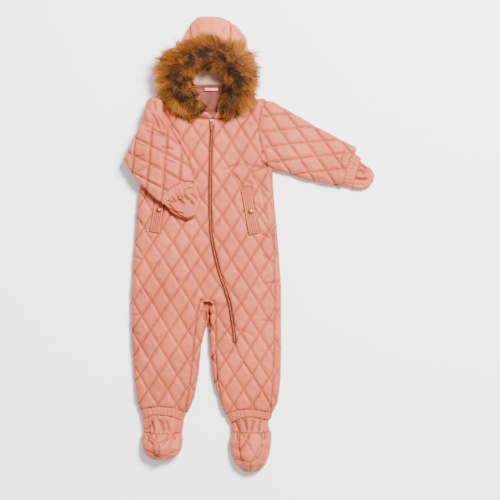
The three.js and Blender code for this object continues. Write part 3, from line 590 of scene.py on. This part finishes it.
# The ground colour, its darker and its lighter patches.
CLOTH = woven_cloth("quilted_nylon", (169, 79, 51), (160, 71, 45), (178, 86, 58), stitched=True, crinkle=0.9)
PLAIN = woven_cloth("plain_nylon", (169, 79, 51), (158, 70, 44), (178, 86, 58), stitched=True, crinkle=0.8)
HOOD_CLOTH = woven_cloth(
    "hood_nylon", (186, 90, 62), (178, 83, 56), (194, 98, 70), stitched=True, crinkle=0.6,
)
NECK = woven_cloth("neck_facing", (110, 53, 37), (90, 41, 28), (126, 64, 46), rough=(0.6, 0.75))
HOOD_INSIDE = woven_cloth(
    "hood_lining", (180, 134, 108), (130, 88, 66), (200, 156, 130), rough=(0.7, 0.85),
)
LABEL = woven_cloth(
    "bare_label", (196, 132, 112), (184, 118, 98), (206, 144, 124), rough=(0.45, 0.55), crinkle=0.1,
)
# The zip tape's dark colour is partly its own and partly painted shade of the narrow slot between the cloth
# and the teeth.
TAPE_WITH_PAINTED_SHADE = woven_cloth("zip_tape", (96, 38, 24), (80, 30, 18), (110, 46, 30), rough=(0.65, 0.8), crinkle=0.15)
ROSE_COPPER = metal("rose_copper", (206, 124, 88), (160, 84, 56))
BRASS = metal("brass", (176, 104, 54), (132, 72, 34))
FUR = fur_material()
FUR_SKIN = fur_skin()


# ------------------------------------------------------------------ panels
def wear(name, mesh, material, slot, *nodes, flat=None, area=None):
    """Makes the mesh a piece of the suit in place of the nodes; the cut of its cloth, flat and area, is not
    used.
    """
    mesh.materials.clear()
    mesh.materials.append(material)
    piece = add_object(name, mesh)
    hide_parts(*nodes)
    return piece


def make_body():
    hems = [RIGHT_HEM, LEFT_HEM, NECK_SEAM]
    front_right = quilted(
        dense_copy("front_right", 2.3, 5), QUILTS["front_right"], [BELOW_ZIP, INSEAM, *hems], 11,
        inside_below=15, folds=BODY_FOLDS, outlines=[RIGHT_WELT + RIGHT_WELT[:1]],
    )
    front_left = quilted(
        dense_copy("front_left", 2.2, 5), QUILTS["front_left"],
        [BELOW_ZIP, SIDE_SEAM, LEFT_ARMHOLE, *hems], 23,
        inside_below=15, folds=BODY_FOLDS, outlines=[LEFT_WELT + LEFT_WELT[:1]],
    )
    back = quilted(
        dense_copy("back", 2.9, 4), QUILTS["back"], [SIDE_SEAM, INSEAM, LEFT_ARMHOLE, *hems], 37,
        inside_below=13.5, depth=3.0, folds=CROTCH_FOLDS,
    )
    for node, mesh, flat, area in (
        ("front_right", front_right, (0.30, 0.64), 0.125),
        ("front_left", front_left, (0.15, 0.62), 0.068),
        ("back", back, (0.34, 0.65), 0.20),
    ):
        wear("quilted_" + node, mesh, CLOTH, "quilted_cloth", node, flat=flat, area=area)


CROTCH_FOLDS = [
    fold((-90, -114), (-83, -172), 3.0, -11, 2),
    fold((-100, -114), (-74, -122), 2.6, -6),
    fold((-88, -128), (-74, -118), 2.2, -4),
    fold((-86, -140), (-72, -134), 2.2, -3),
]
BODY_FOLDS = [
    *CROTCH_FOLDS,
    fold((-98, -60), (-84, -112), 8, -1.6, 4),
    fold((-60, -130), (-78, -112), 6, -1.5),
    fold((-130, -130), (-100, -112), 7, -1.2),
    # from the armpit across the chest
    fold((46, 158), (18, 166), 3, -5.0, 2),
    fold((46, 154), (24, 156), 2.6, -5.0, -2),
    fold((40, 158), (-10, 160), 4, -3.0, 5),
    fold((40, 155), (-4, 138), 4, -2.4, -4),
    fold((-60, 145), (-8, 160), 3.5, -1.8, 3),
    fold((-34, 142), (-14, 112), 4, -2.2, 3),
    fold((14, 134), (42, 100), 4, -2.4, -3),
    fold((22, 112), (30, 60), 4, -1.8, 3),
    fold((10, 82), (38, 44), 3.5, -2.2, 3),
    fold((-12, 128), (6, 118), 3, -2.0),
    fold((44, 40), (52, -20), 4, -2.0, -2),
    fold((20, -20), (52, -44), 3, -1.8, 3),
    fold((24, -78), (54, -70), 3, -1.8, -2),
    fold((22, -150), (56, -160), 3, -1.8, 3),
    fold((-238, 40), (-214, 46), 3, -1.8),
    fold((-240, -20), (-216, -32), 3, -2.0, 2),
    fold((-240, -140), (-214, -136), 3, -1.8, -2),
    fold((-242, -170), (-216, -180), 3, -1.8),
    # along the folded sleeve's edge: a trough, with a painted shade line for the sleeve's shadow on the chest
    fold((-176, 276), (-104, 122), 4, -4.0, -2),
    # off the pockets' ends
    fold((20, 22), (44, 12), 3.5, -1.8),
    fold((-202, 24), (-222, 14), 3.5, -1.6),
    fold((-206, -8), (-232, -18), 4, -1.6, 3),
    fold((-210, -95), (-236, -112), 4, -1.6, -3),
    fold((-214, -60), (-234, -62), 4, -1.2),
    # from the shoulder and the neck
    fold((-20, 246), (6, 262), 4, -1.8),
    fold((-28, 228), (10, 236), 4, -1.4, 4),
    fold((-60, 238), (-44, 214), 4, -1.4),
    fold((-96, 240), (-112, 214), 4, -1.4),
    fold((-150, 262), (-124, 236), 5, -2.0, 4),
    # beside the zip's end
    fold((-24, -170), (10, -186), 4, -1.6, 3),
    fold((-26, -214), (-58, -222), 4, -1.4, -3),
]

RIGHT_SLEEVE_FOLDS = [
    fold((-190, 282), (-185, 262), 5, -4),
    fold((-214, 243), (-163, 226), 7, -5, 4),
    fold((-212, 228), (-160, 214), 6, -3.0, -3),
    fold((-240, 172), (-205, 176), 7, -2.5),
    fold((-228, 140), (-190, 160), 7, -2.0),
    fold((-206, 268), (-200, 236), 7, 2.5),
    fold((-198, 262), (-176, 222), 3.4, -3.6, 3),
    fold((-180, 258), (-160, 226), 3, -3.0, -3),
    fold((-226, 200), (-198, 192), 3, -2.2),
    fold((-176, 190), (-150, 186), 3.4, -2.6, 2),
    fold((-168, 168), (-146, 160), 3, -2.4),
]
LEFT_SLEEVE_FOLDS = [
    fold((44, 160), (80, 170), 7, -2.0),
    fold((36, 190), (62, 196), 7, -1.6),
    fold((120, 236), (140, 205), 8, -1.5),
    fold((190, 195), (178, 160), 6, -2.0),
]


def make_sleeves():
    left = quilted(
        dense_copy("sleeve_left", 2.2, 4, tall=3.2), QUILTS["sleeve_left"],
        [LEFT_ARMHOLE, LEFT_SLEEVE_CUT], 41, folds=LEFT_SLEEVE_FOLDS,
    )
    right = quilted(
        dense_copy("sleeve_right", 2.1, 6, tall=2.2), QUILTS["sleeve_right"],
        [RIGHT_SLEEVE_CUT], 43, depth=4.4, folds=RIGHT_SLEEVE_FOLDS,
    )
    for node, mesh in (("sleeve_left", left), ("sleeve_right", right)):
        wear("quilted_" + node, mesh, CLOTH, "quilted_cloth", node, flat=(0.29, 0.21), area=0.047)


# Elastic bands and gathered ankles: the line each follows, its folds' pitch and depth, its cut and seams.
BANDS = {
    "sleeve_cuff_left": {
        "line": [(214, 178), (200, 160), (196, 140), (193, 117)], "pitch": 6.2, "depth": 3.0,
        "flat": (0.19, 0.023), "seams": [LEFT_SLEEVE_CUT],
    },
    "sleeve_cuff_right": {
        "line": [(-170, 79), (-163, 94), (-150, 104), (-132, 112), (-108, 116)], "pitch": 6.2, "depth": 3.0,
        "flat": (0.19, 0.012), "seams": [RIGHT_SLEEVE_CUT], "drawn": ((0, 26), (0, 12.5)),
    },
    "leg_cuff_right": {
        "line": [(-217, -340), (-183, -330), (-153, -332), (-128, -342)], "pitch": 7.0, "depth": 3.2,
        "flat": (0.26, 0.023), "seams": [RIGHT_HEM, RIGHT_BAND_END],
    },
    "leg_cuff_left": {
        "line": [(-45, -346), (-14, -336), (10, -335), (42, -342)], "pitch": 7.0, "depth": 3.2,
        "flat": (0.26, 0.023), "seams": [LEFT_HEM, LEFT_BAND_END],
    },
    "ankle_right": {
        "line": [(-222, -358), (-172, -352), (-124, -358)], "pitch": 13.0, "depth": 2.6,
        "flat": (0.22, 0.033), "seams": [RIGHT_BAND_END, RIGHT_ANKLE_END],
        "folds": [
            fold((-182, -347), (-170, -370), 4.5, -6.0, 2),
            fold((-165, -347), (-155, -372), 3.5, -4.0, -2),
            fold((-198, -350), (-190, -371), 3.5, -3.5),
            fold((-194, -350), (-210, -370), 3.5, -3.5, 2),
        ],
    },
    "ankle_left": {
        "line": [(-46, -359), (0, -355), (48, -359)], "pitch": 12.0, "depth": 2.6,
        "flat": (0.22, 0.033), "seams": [LEFT_BAND_END, LEFT_ANKLE_END],
        "folds": [
            fold((-31, -350), (-22, -372), 3.5, -3.5),
            fold((-14, -346), (-8, -370), 3.5, -4.0, 2),
            fold((8, -348), (2, -372), 3.2, -3.5),
            fold((25, -348), (19, -372), 3.5, -4.0, -2),
        ],
    },
}


def make_bands():
    for seed, (node, band) in enumerate(BANDS.items(), 61):
        mesh = gathered(
            dense_copy(node, 1.55, 3), band["line"], seed, band["pitch"], band["depth"], band["seams"],
            band.get("folds", ()),
        )
        if "drawn" in band:
            write_coords(mesh, drawn_to(coords_of(mesh), band["seams"][0], *band["drawn"]))
        wear("gathered_" + node, mesh, PLAIN, "quilted_cloth", node, flat=band["flat"])


def make_mitts():
    # The deep folds here also get painted shade lines for the mitts' shaded creases.
    folds = {
        "right": [
            fold((-145, 100), (-130, 78), 3.2, -5.0, -2),
            fold((-133, 96), (-110, 75), 3.0, -4.0, 2),
            fold((-161, 80), (-149, 64), 2.4, -6.0, -1),
            fold((-152, 65), (-131, 60), 2.2, -6.0, -1),
            fold((-118, 100), (-104, 88), 3, -2.0),
        ],
        "left": [
            fold((204, 134), (234, 131), 2.6, -6.5, -3),
            fold((206, 148), (228, 140), 5, -4.5, 3),
            fold((212, 160), (234, 150), 3, -2.0),
            fold((210, 120), (228, 117), 3, -1.6),
        ],
    }
    for side, creases in folds.items():
        upper, lower = dense_copy("mitten_front_" + side, 1.2, 6), dense_copy("mitten_back_" + side, 1.2, 6)
        if side == "right":
            # The cuff is drawn up, and the mitt with it, and its under layer's rim shows below the opening.
            write_coords(upper, drawn_to(coords_of(upper), RIGHT_SLEEVE_CUT, (0, 20, 60), (0, 4.5, 60)))
            write_coords(lower, coords_of(lower) + np.array([-1.2, -2.4, 0]))
        soft_cloth(upper, 71, folds=creases, crumple=0.9, inflate=0.5)
        soft_cloth(lower, 73, crumple=0.6, inflate=1.6)
        for layer, mesh in (("front_", upper), ("back_", lower)):
            wear("soft_mitten_" + layer + side, mesh, PLAIN, "quilted_cloth", "mitten_" + layer + side,
                 flat=(0.065, 0.062), area=0.0025)


BOOTIE_SEAMS = {
    "right": [[(-198, -372), (-196, -382), (-180, -391), (-163, -382), (-160, -372)], RIGHT_ANKLE_END],
    "left": [
        [(-20, -371), (-22, -401), (-16, -423), (-1, -430), (15, -423), (25, -405), (23, -371)],
        LEFT_ANKLE_END,
    ],
}
BOOTIE_FOLDS = {
    "right": [
        fold((-212, -384), (-190, -398), 5, -2.2, 3),
        fold((-150, -380), (-172, -396), 5, -2.0, -3),
        fold((-180, -390), (-180, -418), 2.2, -2.0),
        fold((-212, -404), (-136, -404), 2.4, -2.4, -12),
        fold((-206, -374), (-200, -388), 3, -2.2),
        fold((-188, -374), (-186, -384), 3, -2.0),
        fold((-152, -374), (-148, -386), 3, -2.2),
    ],
    "left": [
        fold((-38, -400), (-20, -410), 4, -1.6),
        fold((-32, -424), (-14, -430), 4, -1.8),
        fold((0, -430), (0, -456), 2.2, -2.2),
        fold((28, -400), (40, -412), 4, -1.6),
        fold((-28, -374), (-26, -390), 3, -2.4),
        fold((-4, -374), (-6, -386), 3, -2.0),
        fold((32, -374), (30, -388), 3, -2.2),
    ],
}
# The cut of each bootie piece: its flat size and its area.
BOOTIE_CUTS = {
    "right": {
        "vamp": ((0.036, 0.028), 0.0008), "wall": ((0.090, 0.060), 0.0042), "sole": ((0.120, 0.095), 0.0095),
    },
    "left": {
        "vamp": ((0.070, 0.055), 0.0030), "wall": ((0.200, 0.060), 0.0090), "sole": ((0.110, 0.072), 0.0062),
    },
}


def make_booties():
    for side, seams in BOOTIE_SEAMS.items():
        for part, (flat, area) in BOOTIE_CUTS[side].items():
            node = f"bootie_{part}_{side}"
            mesh = soft_cloth(
                dense_copy(node, 1.5, 4), 81, seams=seams, folds=BOOTIE_FOLDS[side],
                crumple=1.0, seam_depth=1.8, quilt=QUILTS.get(node),
            )
            wear("soft_" + node, mesh, PLAIN, "quilted_cloth", node, flat=flat, area=area)


def make_hood():
    cuts = {
        "hood_center": ((0.082, 0.36), 0.0280),
        "hood_side_right": ((0.16, 0.15), 0.0185),
        "hood_side_left": ((0.16, 0.15), 0.0185),
    }
    folds = [
        fold((-112, 440), (-104, 410), 6, -2.0, 4),
        fold((-44, 436), (-56, 414), 6, -2.0, -3),
        fold((-88, 452), (-84, 424), 8, -1.4, 3),
        fold((-34, 430), (-16, 412), 5, -1.8),
        fold((-126, 424), (-118, 408), 4, -2.0),
    ]
    for seed, (node, (flat, area)) in enumerate(cuts.items(), 91):
        mesh = soft_cloth(
            dense_copy(node, 2.5, 6), seed, seams=HOOD_SEAMS, folds=folds,
            crumple=1.5, seam_depth=2.6, shoulder=8, size=20,
        )
        wear("padded_" + node, mesh, HOOD_CLOTH, "quilted_cloth", node, flat=flat, area=area)


# ------------------------------------------------------------------ inside the hood
def sheet_grid(rows, columns, surface, thick):
    """A closed sheet over a grid: surface(u, v) gives its upper face for u and v from 0 to 1."""
    u, v = np.meshgrid(np.linspace(0, 1, columns), np.linspace(0, 1, rows))
    top = np.stack(surface(u.ravel(), v.ravel()), axis=1)
    under = top - np.array([0, 0, thick])
    count = rows * columns
    faces = []
    for r in range(rows - 1):
        for c in range(columns - 1):
            a = r * columns + c
            faces.append((a, a + 1, a + columns + 1, a + columns))
            faces.append((count + a, count + a + columns, count + a + columns + 1, count + a + 1))
    rim = list(range(columns))
    rim += [r * columns + columns - 1 for r in range(1, rows)]
    rim += [(rows - 1) * columns + c for c in range(columns - 2, -1, -1)]
    rim += [r * columns for r in range(rows - 2, 0, -1)]
    for a, b in zip(rim, rim[1:] + rim[:1]):
        faces.append((a, count + a, count + b, b))
    return np.concatenate([top, under]), faces


NECK_FOLD_Y = 317


def make_linings():
    def lining(u, v):
        x = -134 + 108 * u
        y = NECK_FOLD_Y + 0.5 + 68 * v
        across = (2 * u - 1) ** 2
        z = 17 + 27 * smoothstep(0.12, 0.75, v) + 14 * across * (1 - 0.6 * v)
        gathers = 1.0 * np.sin(x / 5.5 + 1.2 * noise(y / 14, x / 30, 8)) * (1 - v) * 0.6
        z += 1.1 * soft_noise(x / 15, y / 11, 5) + gathers
        return x, y, np.minimum(z, 44 - 6 * v)

    def neck(u, v):
        y = 251 + (NECK_FOLD_Y - 251) * v
        half = np.interp(y, (251, 266, 280, 317), (3.5, 13, 44, 48))
        x = -73 - 7 * smoothstep(251, 285, y) + (2 * u - 1) * half
        across = (2 * u - 1) ** 2
        z = 16.4 + 15 * across * smoothstep(266, 280, y) + 3.2 * smoothstep(0.86, 1.0, v)
        z += 12.6 * (1 - smoothstep(259, 272, y))
        gathers = np.sin(x / 4.2 + 2.0 * noise(y / 30, x / 40, 12)) * (0.5 + 0.5 * noise(x / 17, y / 26, 13))
        z += 1.7 * gathers * smoothstep(0.2, 0.5, 1 - np.abs(2 * v - 1)) + 0.7 * soft_noise(x / 12, y / 9, 15)
        return x, y, z

    for name, surface, node, material, slot, flat, area in (
        ("hood_lining_cloth", lining, "hood_lining", HOOD_INSIDE, "hood_inside_cloth", (0.14, 0.085), 0.0105),
        ("neck_facing_cloth", neck, "neck_lining", NECK, "neck_cloth", (0.12, 0.06), 0.0070),
    ):
        points, faces = sheet_grid(36, 60, surface, 1.2)
        wear(name, mesh_from(name, points, faces), material, slot, node, flat=flat, area=area)

    def label(u, v):
        x = -90 + 26 * u
        y = 305 + 6 * v
        return x, y, 21.0 + 0.35 * np.sin(u * 5) + 0.5 * (2 * u - 1) ** 2

    points, faces = sheet_grid(8, 28, label, 0.6)
    wear("bare_neck_label", mesh_from("bare_neck_label", points, faces), LABEL, "label_cloth", "neck_label",
         flat=(0.027, 0.0105), area=0.00016)


# ------------------------------------------------------------------ fur
# The strip that the fur grows from, around the face opening from the wearer's right to their left:
# its middle, its height, how far the outer and the inner hairs reach, and which way along it they are swept.
FUR_STRIP = [
    dict(zip(("x", "y", "z", "out", "into", "sweep"), row))
    for row in (
        (-104, 262, 46, 9, 10, -0.3),
        (-118, 277, 54, 15, 17, -0.4),
        (-136, 299, 60, 35, 26, -0.4),
        (-142, 325, 63, 49, 32, -0.35),
        (-134, 350, 65, 53, 29, -0.2),
        (-113, 366, 66, 41, 26, -0.45),
        (-85, 371, 66, 33, 26, -0.8),
        (-57, 367, 66, 39, 25, -0.5),
        (-33, 351, 65, 54, 24, 0.0),
        (-22, 328, 63, 37, 20, 0.3),
        (-23, 302, 60, 34, 17, 0.4),
        (-37, 279, 54, 19, 12, 0.4),
        (-52, 264, 46, 9, 8, 0.3),
    )
]
HAIR_STEPS = 4
HAIRS_IN_TUFT = 46


def along_strip(place):
    """The strip's middle and its reach, its outward direction and its own, at places from 0 to 1 along it."""
    keys = np.linspace(0, 1, len(FUR_STRIP))
    spread = {k: np.interp(place, keys, [row[k] for row in FUR_STRIP]) for k in FUR_STRIP[0]}
    step = 0.03

    def middle(at):
        return [np.interp(np.clip(at, 0, 1), keys, [row[k] for row in FUR_STRIP]) for k in ("x", "y")]

    ahead, behind = middle(place + step), middle(place - step)
    tx, ty = ahead[0] - behind[0], ahead[1] - behind[1]
    size = np.hypot(tx, ty)
    return spread, np.stack([-ty / size, tx / size], axis=1), np.stack([tx / size, ty / size], axis=1)


def hairs(name, count, seed, lean, reach, width, lift, droop, gold, close, strip_half=11):
    """Tapered, curved hairs as one joined mesh, in tufts whose hairs come together towards their tips.

    lean is where they point across the strip, from -1 (into the opening) to 1 (outward): lowest and highest.
    gold is how golden the tufts are on average, from 0 to 1, and close how wide they stay at their tips.
    """
    rng = np.random.RandomState(seed)
    tufts = count // HAIRS_IN_TUFT
    place = np.sort(rng.uniform(0, 1, tufts))
    spread, outward, forward = along_strip(place)
    tilt = rng.uniform(*lean, tufts)
    swing = spread["sweep"] + rng.normal(0, 0.17, tufts) + 0.25 * noise(place * 11, 0 * place, seed + 1)
    swing += 0.35 * (smoothstep(0.93, 1.0, place) - smoothstep(0.07, 0.0, place))
    toward = outward * tilt[:, None] + forward * swing[:, None]
    length = np.where(tilt > 0, spread["out"], spread["into"]) * rng.uniform(0.80, 1.06, tufts) * reach
    # A tuft that points across the strip's middle is shorter, and stands up instead.
    root = np.stack([spread["x"], spread["y"], spread["z"]], axis=1)
    side = np.clip(0.7 * tilt + rng.normal(0, 0.35, tufts), -1, 1)
    root[:, :2] += outward * (side * strip_half)[:, None]
    root[:, 2] -= 5 * side**2 + 2
    patch = 0.7 * noise(place * 26, tilt * 2.5 + 3, seed + 5)
    shade = np.clip(gold + patch + rng.normal(0, 0.2, tufts), 0, 1)
    tint = rng.uniform(0, 1, tufts) ** 2.0

    own = rng.randint(0, tufts, count)
    size = length[own] * rng.uniform(0.74, 1.05, count)
    scatter = rng.normal(0, 1, (count, 3)) * (4.2, 4.2, 1.6)
    closing = rng.uniform(*close, count)
    curl = (rng.normal(0, 0.12, tufts)[own] + rng.normal(0, 0.05, count)) * size
    half = width * rng.uniform(0.6, 1.25, count) / 2
    way = toward[own]
    across = np.stack([-way[:, 1], way[:, 0], np.zeros(count)], axis=1)
    across /= np.maximum(np.linalg.norm(across, axis=1), 1e-6)[:, None]
    lifted = lift * (1 + 0.8 * (1 - np.minimum(np.abs(tilt[own]), 1)))
    points, told = [], []
    for step in range(HAIR_STEPS + 1):
        t = (step / HAIR_STEPS) ** 0.9
        middle = root[own] + scatter * (1 - t * (1 - closing))[:, None]
        middle[:, :2] += way * (size * t)[:, None] + across[:, :2] * (curl * t * t)[:, None]
        middle[:, 2] += size * (lifted * t - droop * t * t)
        middle[:, 2] = np.maximum(middle[:, 2], 3.0)
        here = (half * (1 - 0.55 * t))[:, None]
        sides = [middle] if step == HAIR_STEPS else [middle - across * here, middle + across * here]
        points += sides
        told += [np.stack([np.full(count, t), tint[own], shade[own]], axis=1)] * len(sides)
    rings = 2 * HAIR_STEPS + 1
    points = np.stack(points, axis=1).reshape(-1, 3)
    told = np.stack(told, axis=1).reshape(-1, 3)
    first = (np.arange(count) * rings)[:, None]
    faces = []
    for a in range(0, 2 * HAIR_STEPS - 2, 2):
        faces += [[a, a + 1, a + 3], [a, a + 3, a + 2]]
    faces.append([rings - 3, rings - 2, rings - 1])
    faces = (first[:, :, None] + np.array(faces)[None]).reshape(-1, 3)
    mesh = triangles(name, points, faces)
    attribute(mesh, "strand", told)
    return mesh


def triangles(name, points, faces):
    """A mesh of many triangles, written in one go."""
    mesh = bpy.data.meshes.new(name)
    mesh.vertices.add(len(points))
    mesh.vertices.foreach_set("co", (points * MM).ravel())
    mesh.loops.add(faces.size)
    mesh.loops.foreach_set("vertex_index", faces.ravel().astype(np.int32))
    mesh.polygons.add(len(faces))
    mesh.polygons.foreach_set("loop_start", np.arange(0, faces.size, 3, dtype=np.int32))
    mesh.update(calc_edges=True)
    return mesh


FUR_LAYERS = {
    "fur_outer": {
        "count": 19000, "lean": (0.5, 1.05), "reach": 1.0, "width": 0.85, "lift": 0.26, "droop": 0.66,
        "gold": 0.85, "close": (0.35, 1.0),
    },
    "fur_top": {
        "count": 18000, "lean": (-0.4, 0.5), "reach": 0.72, "width": 0.80, "lift": 0.40, "droop": 0.55,
        "gold": 0.02, "close": (0.2, 0.8),
    },
    "fur_inner": {
        "count": 17000, "lean": (-1.0, -0.15), "reach": 1.0, "width": 0.80, "lift": 0.42, "droop": 0.78,
        "gold": 0.36, "close": (0.15, 0.7),
    },
}


def make_fur():
    base = dense_copy("fur_trim", 3.0, 6)
    points, normals = coords_of(base), normals_of(base)
    x, y = points[:, :2].T.copy()
    line = np.array([(row["x"], row["y"]) for row in FUR_STRIP])
    marks = np.concatenate([[0], np.cumsum(np.hypot(*np.diff(line, axis=0).T))])
    points = points + normals * (-11 + 2.5 * soft_noise(x / 9, y / 9, 3))[:, None]
    points = drawn_to(points, line, (0, 60), (0, 40))
    # It sinks to the hood's rim, and at its two ends to the front.
    points[:, 2] += np.interp(distance_to(x, y, line)[1], marks, [row["z"] - 73 for row in FUR_STRIP])
    points[:, 2] -= 9 * np.clip(-1.6 * normals[:, 2], 0, 1)
    write_coords(base, points)
    wear("fur_base", base, FUR_SKIN, "fur", "fur_trim", flat=(0.31, 0.045))
    for seed, (name, layer) in enumerate(FUR_LAYERS.items(), 101):
        mesh = hairs(name, seed=seed, **layer)
        mesh.materials.append(FUR)
        add_object(name, mesh)


# ------------------------------------------------------------------ pockets and snaps
WELT_ROWS = 5


def make_welts():
    for side, corners in (("left", LEFT_WELT), ("right", RIGHT_WELT)):
        mesh = dense_copy("pocket_welt_" + side, 0.95, 2)
        points, normals = coords_of(mesh), normals_of(mesh)
        x, y = points[:, :2].T
        (ax, ay), (bx, by), (cx, cy), (dx, dy) = corners
        top, foot = ((ax + bx) / 2, (ay + by) / 2), ((cx + dx) / 2, (cy + dy) / 2)
        length = math.hypot(foot[0] - top[0], foot[1] - top[1])
        ux, uy = (foot[0] - top[0]) / length, (foot[1] - top[1]) / length
        along = (x - top[0]) * ux + (y - top[1]) * uy
        across = -(x - top[0]) * uy + (y - top[1]) * ux
        wide = math.hypot(bx - ax, by - ay)
        row = (across / wide + 0.5) * WELT_ROWS
        away = np.abs(row - np.round(row)) * wide / WELT_ROWS
        inner_row = (row > 0.4) & (row < WELT_ROWS - 0.4)
        rise = -0.9 * np.exp(-((away / 0.7) ** 2)) * inner_row
        rise -= 0.9 * np.exp(-(((np.minimum(along, length - along) - 3.2) / 0.8) ** 2))
        rise += 0.5 * noise(along / 4.5, across / 6, 17) * 0.8 + 0.5
        outer = smoothstep(-0.1, 0.5, normals[:, 2])
        points = points + normals * (rise * outer)[:, None]
        points[:, 2] -= 1.5
        write_coords(mesh, points)
        # The material paints shade along the welt's stitched rows, as it does beside a seam.
        tell_lines(mesh, 0.5, 0.5, np.where(inner_row, 1.3 * away, FAR), weight=0.0)
        wear("stitched_welt_" + side, mesh, PLAIN, "quilted_cloth", "pocket_welt_" + side,
             flat=(0.022, 0.096))


def turned(name, profile, centre, sides=40):
    """A closed round form about Z: profile is a list of (radius, height) from its foot to its top."""
    points, faces = [], []
    for radius, height in profile:
        for i in range(sides):
            angle = 2 * math.pi * i / sides
            x, y = centre[0] + radius * math.cos(angle), centre[1] + radius * math.sin(angle)
            points.append((x, y, centre[2] + height))
    for ring in range(len(profile) - 1):
        for i in range(sides):
            a, b = ring * sides + i, ring * sides + (i + 1) % sides
            faces.append((a, b, b + sides, a + sides))
    faces.append(tuple(range(sides - 1, -1, -1)))
    faces.append(tuple((len(profile) - 1) * sides + i for i in range(sides)))
    return mesh_from(name, points, faces)


SNAP_PROFILE = [(5.0, 0.0), (5.2, 0.4), (5.0, 0.9), (4.4, 1.1), (4.1, 1.0), (3.8, 1.5), (3.0, 2.1), (1.8, 2.5),
                (0.5, 2.65)]


def make_snaps():
    for side in ("left", "right"):
        low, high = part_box("snap_" + side)
        centre = ((low[0] + high[0]) / 2 / MM, (low[1] + high[1]) / 2 / MM, low[2] / MM - 0.9)
        mesh = turned("snap_cap_" + side, SNAP_PROFILE, centre)
        wear("snap_cap_" + side, mesh, BRASS, "snap_metal", "snap_" + side)


# ------------------------------------------------------------------ zip
TOOTH_PITCH = 1.55
TACK = (-34, -192)       # the middle of the bar tack at the zip's foot
TACK_THREADS = 7


def walk(line, step):
    """Points at even steps along a line, each with its direction."""
    run = 0.0
    for (ax, ay), (bx, by) in zip(line, line[1:]):
        length = math.hypot(bx - ax, by - ay)
        while run < length:
            t = run / length
            yield ax + (bx - ax) * t, ay + (by - ay) * t, (bx - ax) / length, (by - ay) / length
            run += step
        run -= length


def block(centre, along, size, points, faces, taper=0.75):
    """Adds one small block with a narrower top: size is (across, along, high)."""
    (cx, cy, cz), (ux, uy), (wide, long, high) = centre, along, size
    start = len(points)
    for level, scale in ((0, 1.0), (high * 0.6, 1.0), (high, taper)):
        for sx, sy in ((-1, -1), (1, -1), (1, 1), (-1, 1)):
            across, ahead = sx * wide / 2 * scale, sy * long / 2 * scale
            points.append((cx - uy * across + ux * ahead, cy + ux * across + uy * ahead, cz + level))
    for level in (0, 4):
        for i in range(4):
            a, b = start + level + i, start + level + (i + 1) % 4
            faces.append((a, b, b + 4, a + 4))
    faces.append((start + 3, start + 2, start + 1, start))
    faces.append((start + 8, start + 9, start + 10, start + 11))


def make_zip():
    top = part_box("zip_chain")[1][2] / MM
    points, faces = [], []
    for number, (x, y, ux, uy) in enumerate(walk(ZIP_LINE, TOOTH_PITCH)):
        side = 1 if number % 2 else -1
        centre = (x - uy * side * 0.5, y + ux * side * 0.5, top - 2.4)
        block(centre, (ux, uy), (2.6, TOOTH_PITCH * 0.86, 2.2), points, faces)
    wear("zip_teeth", mesh_from("zip_teeth", points, faces), ROSE_COPPER, "zip_metal", "zip_chain")
    for side, node in ((-1, "zip_tape_right"), (1, "zip_tape_left")):
        mesh = dense_copy(node, 1.3, 0)
        wear("woven_" + node, mesh, TAPE_WITH_PAINTED_SHADE, "zip_tape", node, flat=(0.0105, 0.46), area=0.00145)
    for node in ("zip_slider", "zip_pull"):
        NODES[node].data.materials.clear()
        NODES[node].data.materials.append(ROSE_COPPER)
    points, faces = [], []
    x, y = TACK
    for i in range(TACK_THREADS):
        block((x - 4.2 + i * 1.4, y, top - 0.8), (0, 1), (1.1, 4.2, 1.4), points, faces)
    tack = add_object("zip_bar_tack", mesh_from("zip_bar_tack", points, faces))
    tack.data.materials.append(NECK)


# ------------------------------------------------------------------ stage
CAMERA_HEIGHT = 3.0
FRAME_WIDTH = 1.0
SENSOR = 36.0
VIEW_CENTRE = (0.0, -0.011)
FLOOR_HALF = 4000        # mm
FLOOR_DROP = 0.0004      # m below the suit's underside
LAMP = {"place": (0.85, 1.1, 2.5), "side": 0.7, "power": 345}
SKY_STRENGTH = 0.92


def floor_material():
    s = Shader("pale_floor")
    place = s.place()
    grain = s.noise(place, 6, 2)
    colour = s.mix(grain, srgb(250, 248, 250), srgb(248, 246, 248))
    return s.finish(colour, s.bump(s.noise(place, 300, 2), 0.02, 0.05), Roughness=0.9)


def make_stage():
    half = FLOOR_HALF
    corners = [(-half, -half, 0), (half, -half, 0), (half, half, 0), (-half, half, 0)]
    mesh = mesh_from("floor", corners, [(0, 1, 2, 3)])
    floor = bpy.data.objects.new("floor", mesh)
    bpy.context.scene.collection.objects.link(floor)
    mesh.materials.append(floor_material())
    floor.location.z = -FLOOR_DROP

    data = bpy.data.lights.new("key", "AREA")
    data.shape = "RECTANGLE"
    data.size = data.size_y = LAMP["side"]
    data.energy = LAMP["power"]
    data.color = (1, 1, 1)
    lamp = bpy.data.objects.new("key", data)
    lamp.location = LAMP["place"]
    lamp.rotation_euler = (-lamp.location).to_track_quat("-Z", "Y").to_euler()
    bpy.context.scene.collection.objects.link(lamp)

    world = bpy.data.worlds.new("studio")
    world.use_nodes = True
    world.node_tree.nodes["Background"].inputs["Color"].default_value = (1, 1, 1, 1)
    world.node_tree.nodes["Background"].inputs["Strength"].default_value = SKY_STRENGTH
    bpy.context.scene.world = world

    data = bpy.data.cameras.new("camera")
    data.sensor_width = SENSOR
    data.lens = SENSOR * CAMERA_HEIGHT / FRAME_WIDTH
    camera = bpy.data.objects.new("camera", data)
    camera.location = (*VIEW_CENTRE, CAMERA_HEIGHT)
    bpy.context.scene.collection.objects.link(camera)
    bpy.context.scene.camera = camera


make_body()
make_sleeves()
make_bands()
make_mitts()
make_booties()
make_hood()
make_linings()
make_fur()
make_welts()
make_snaps()
make_zip()
make_stage()
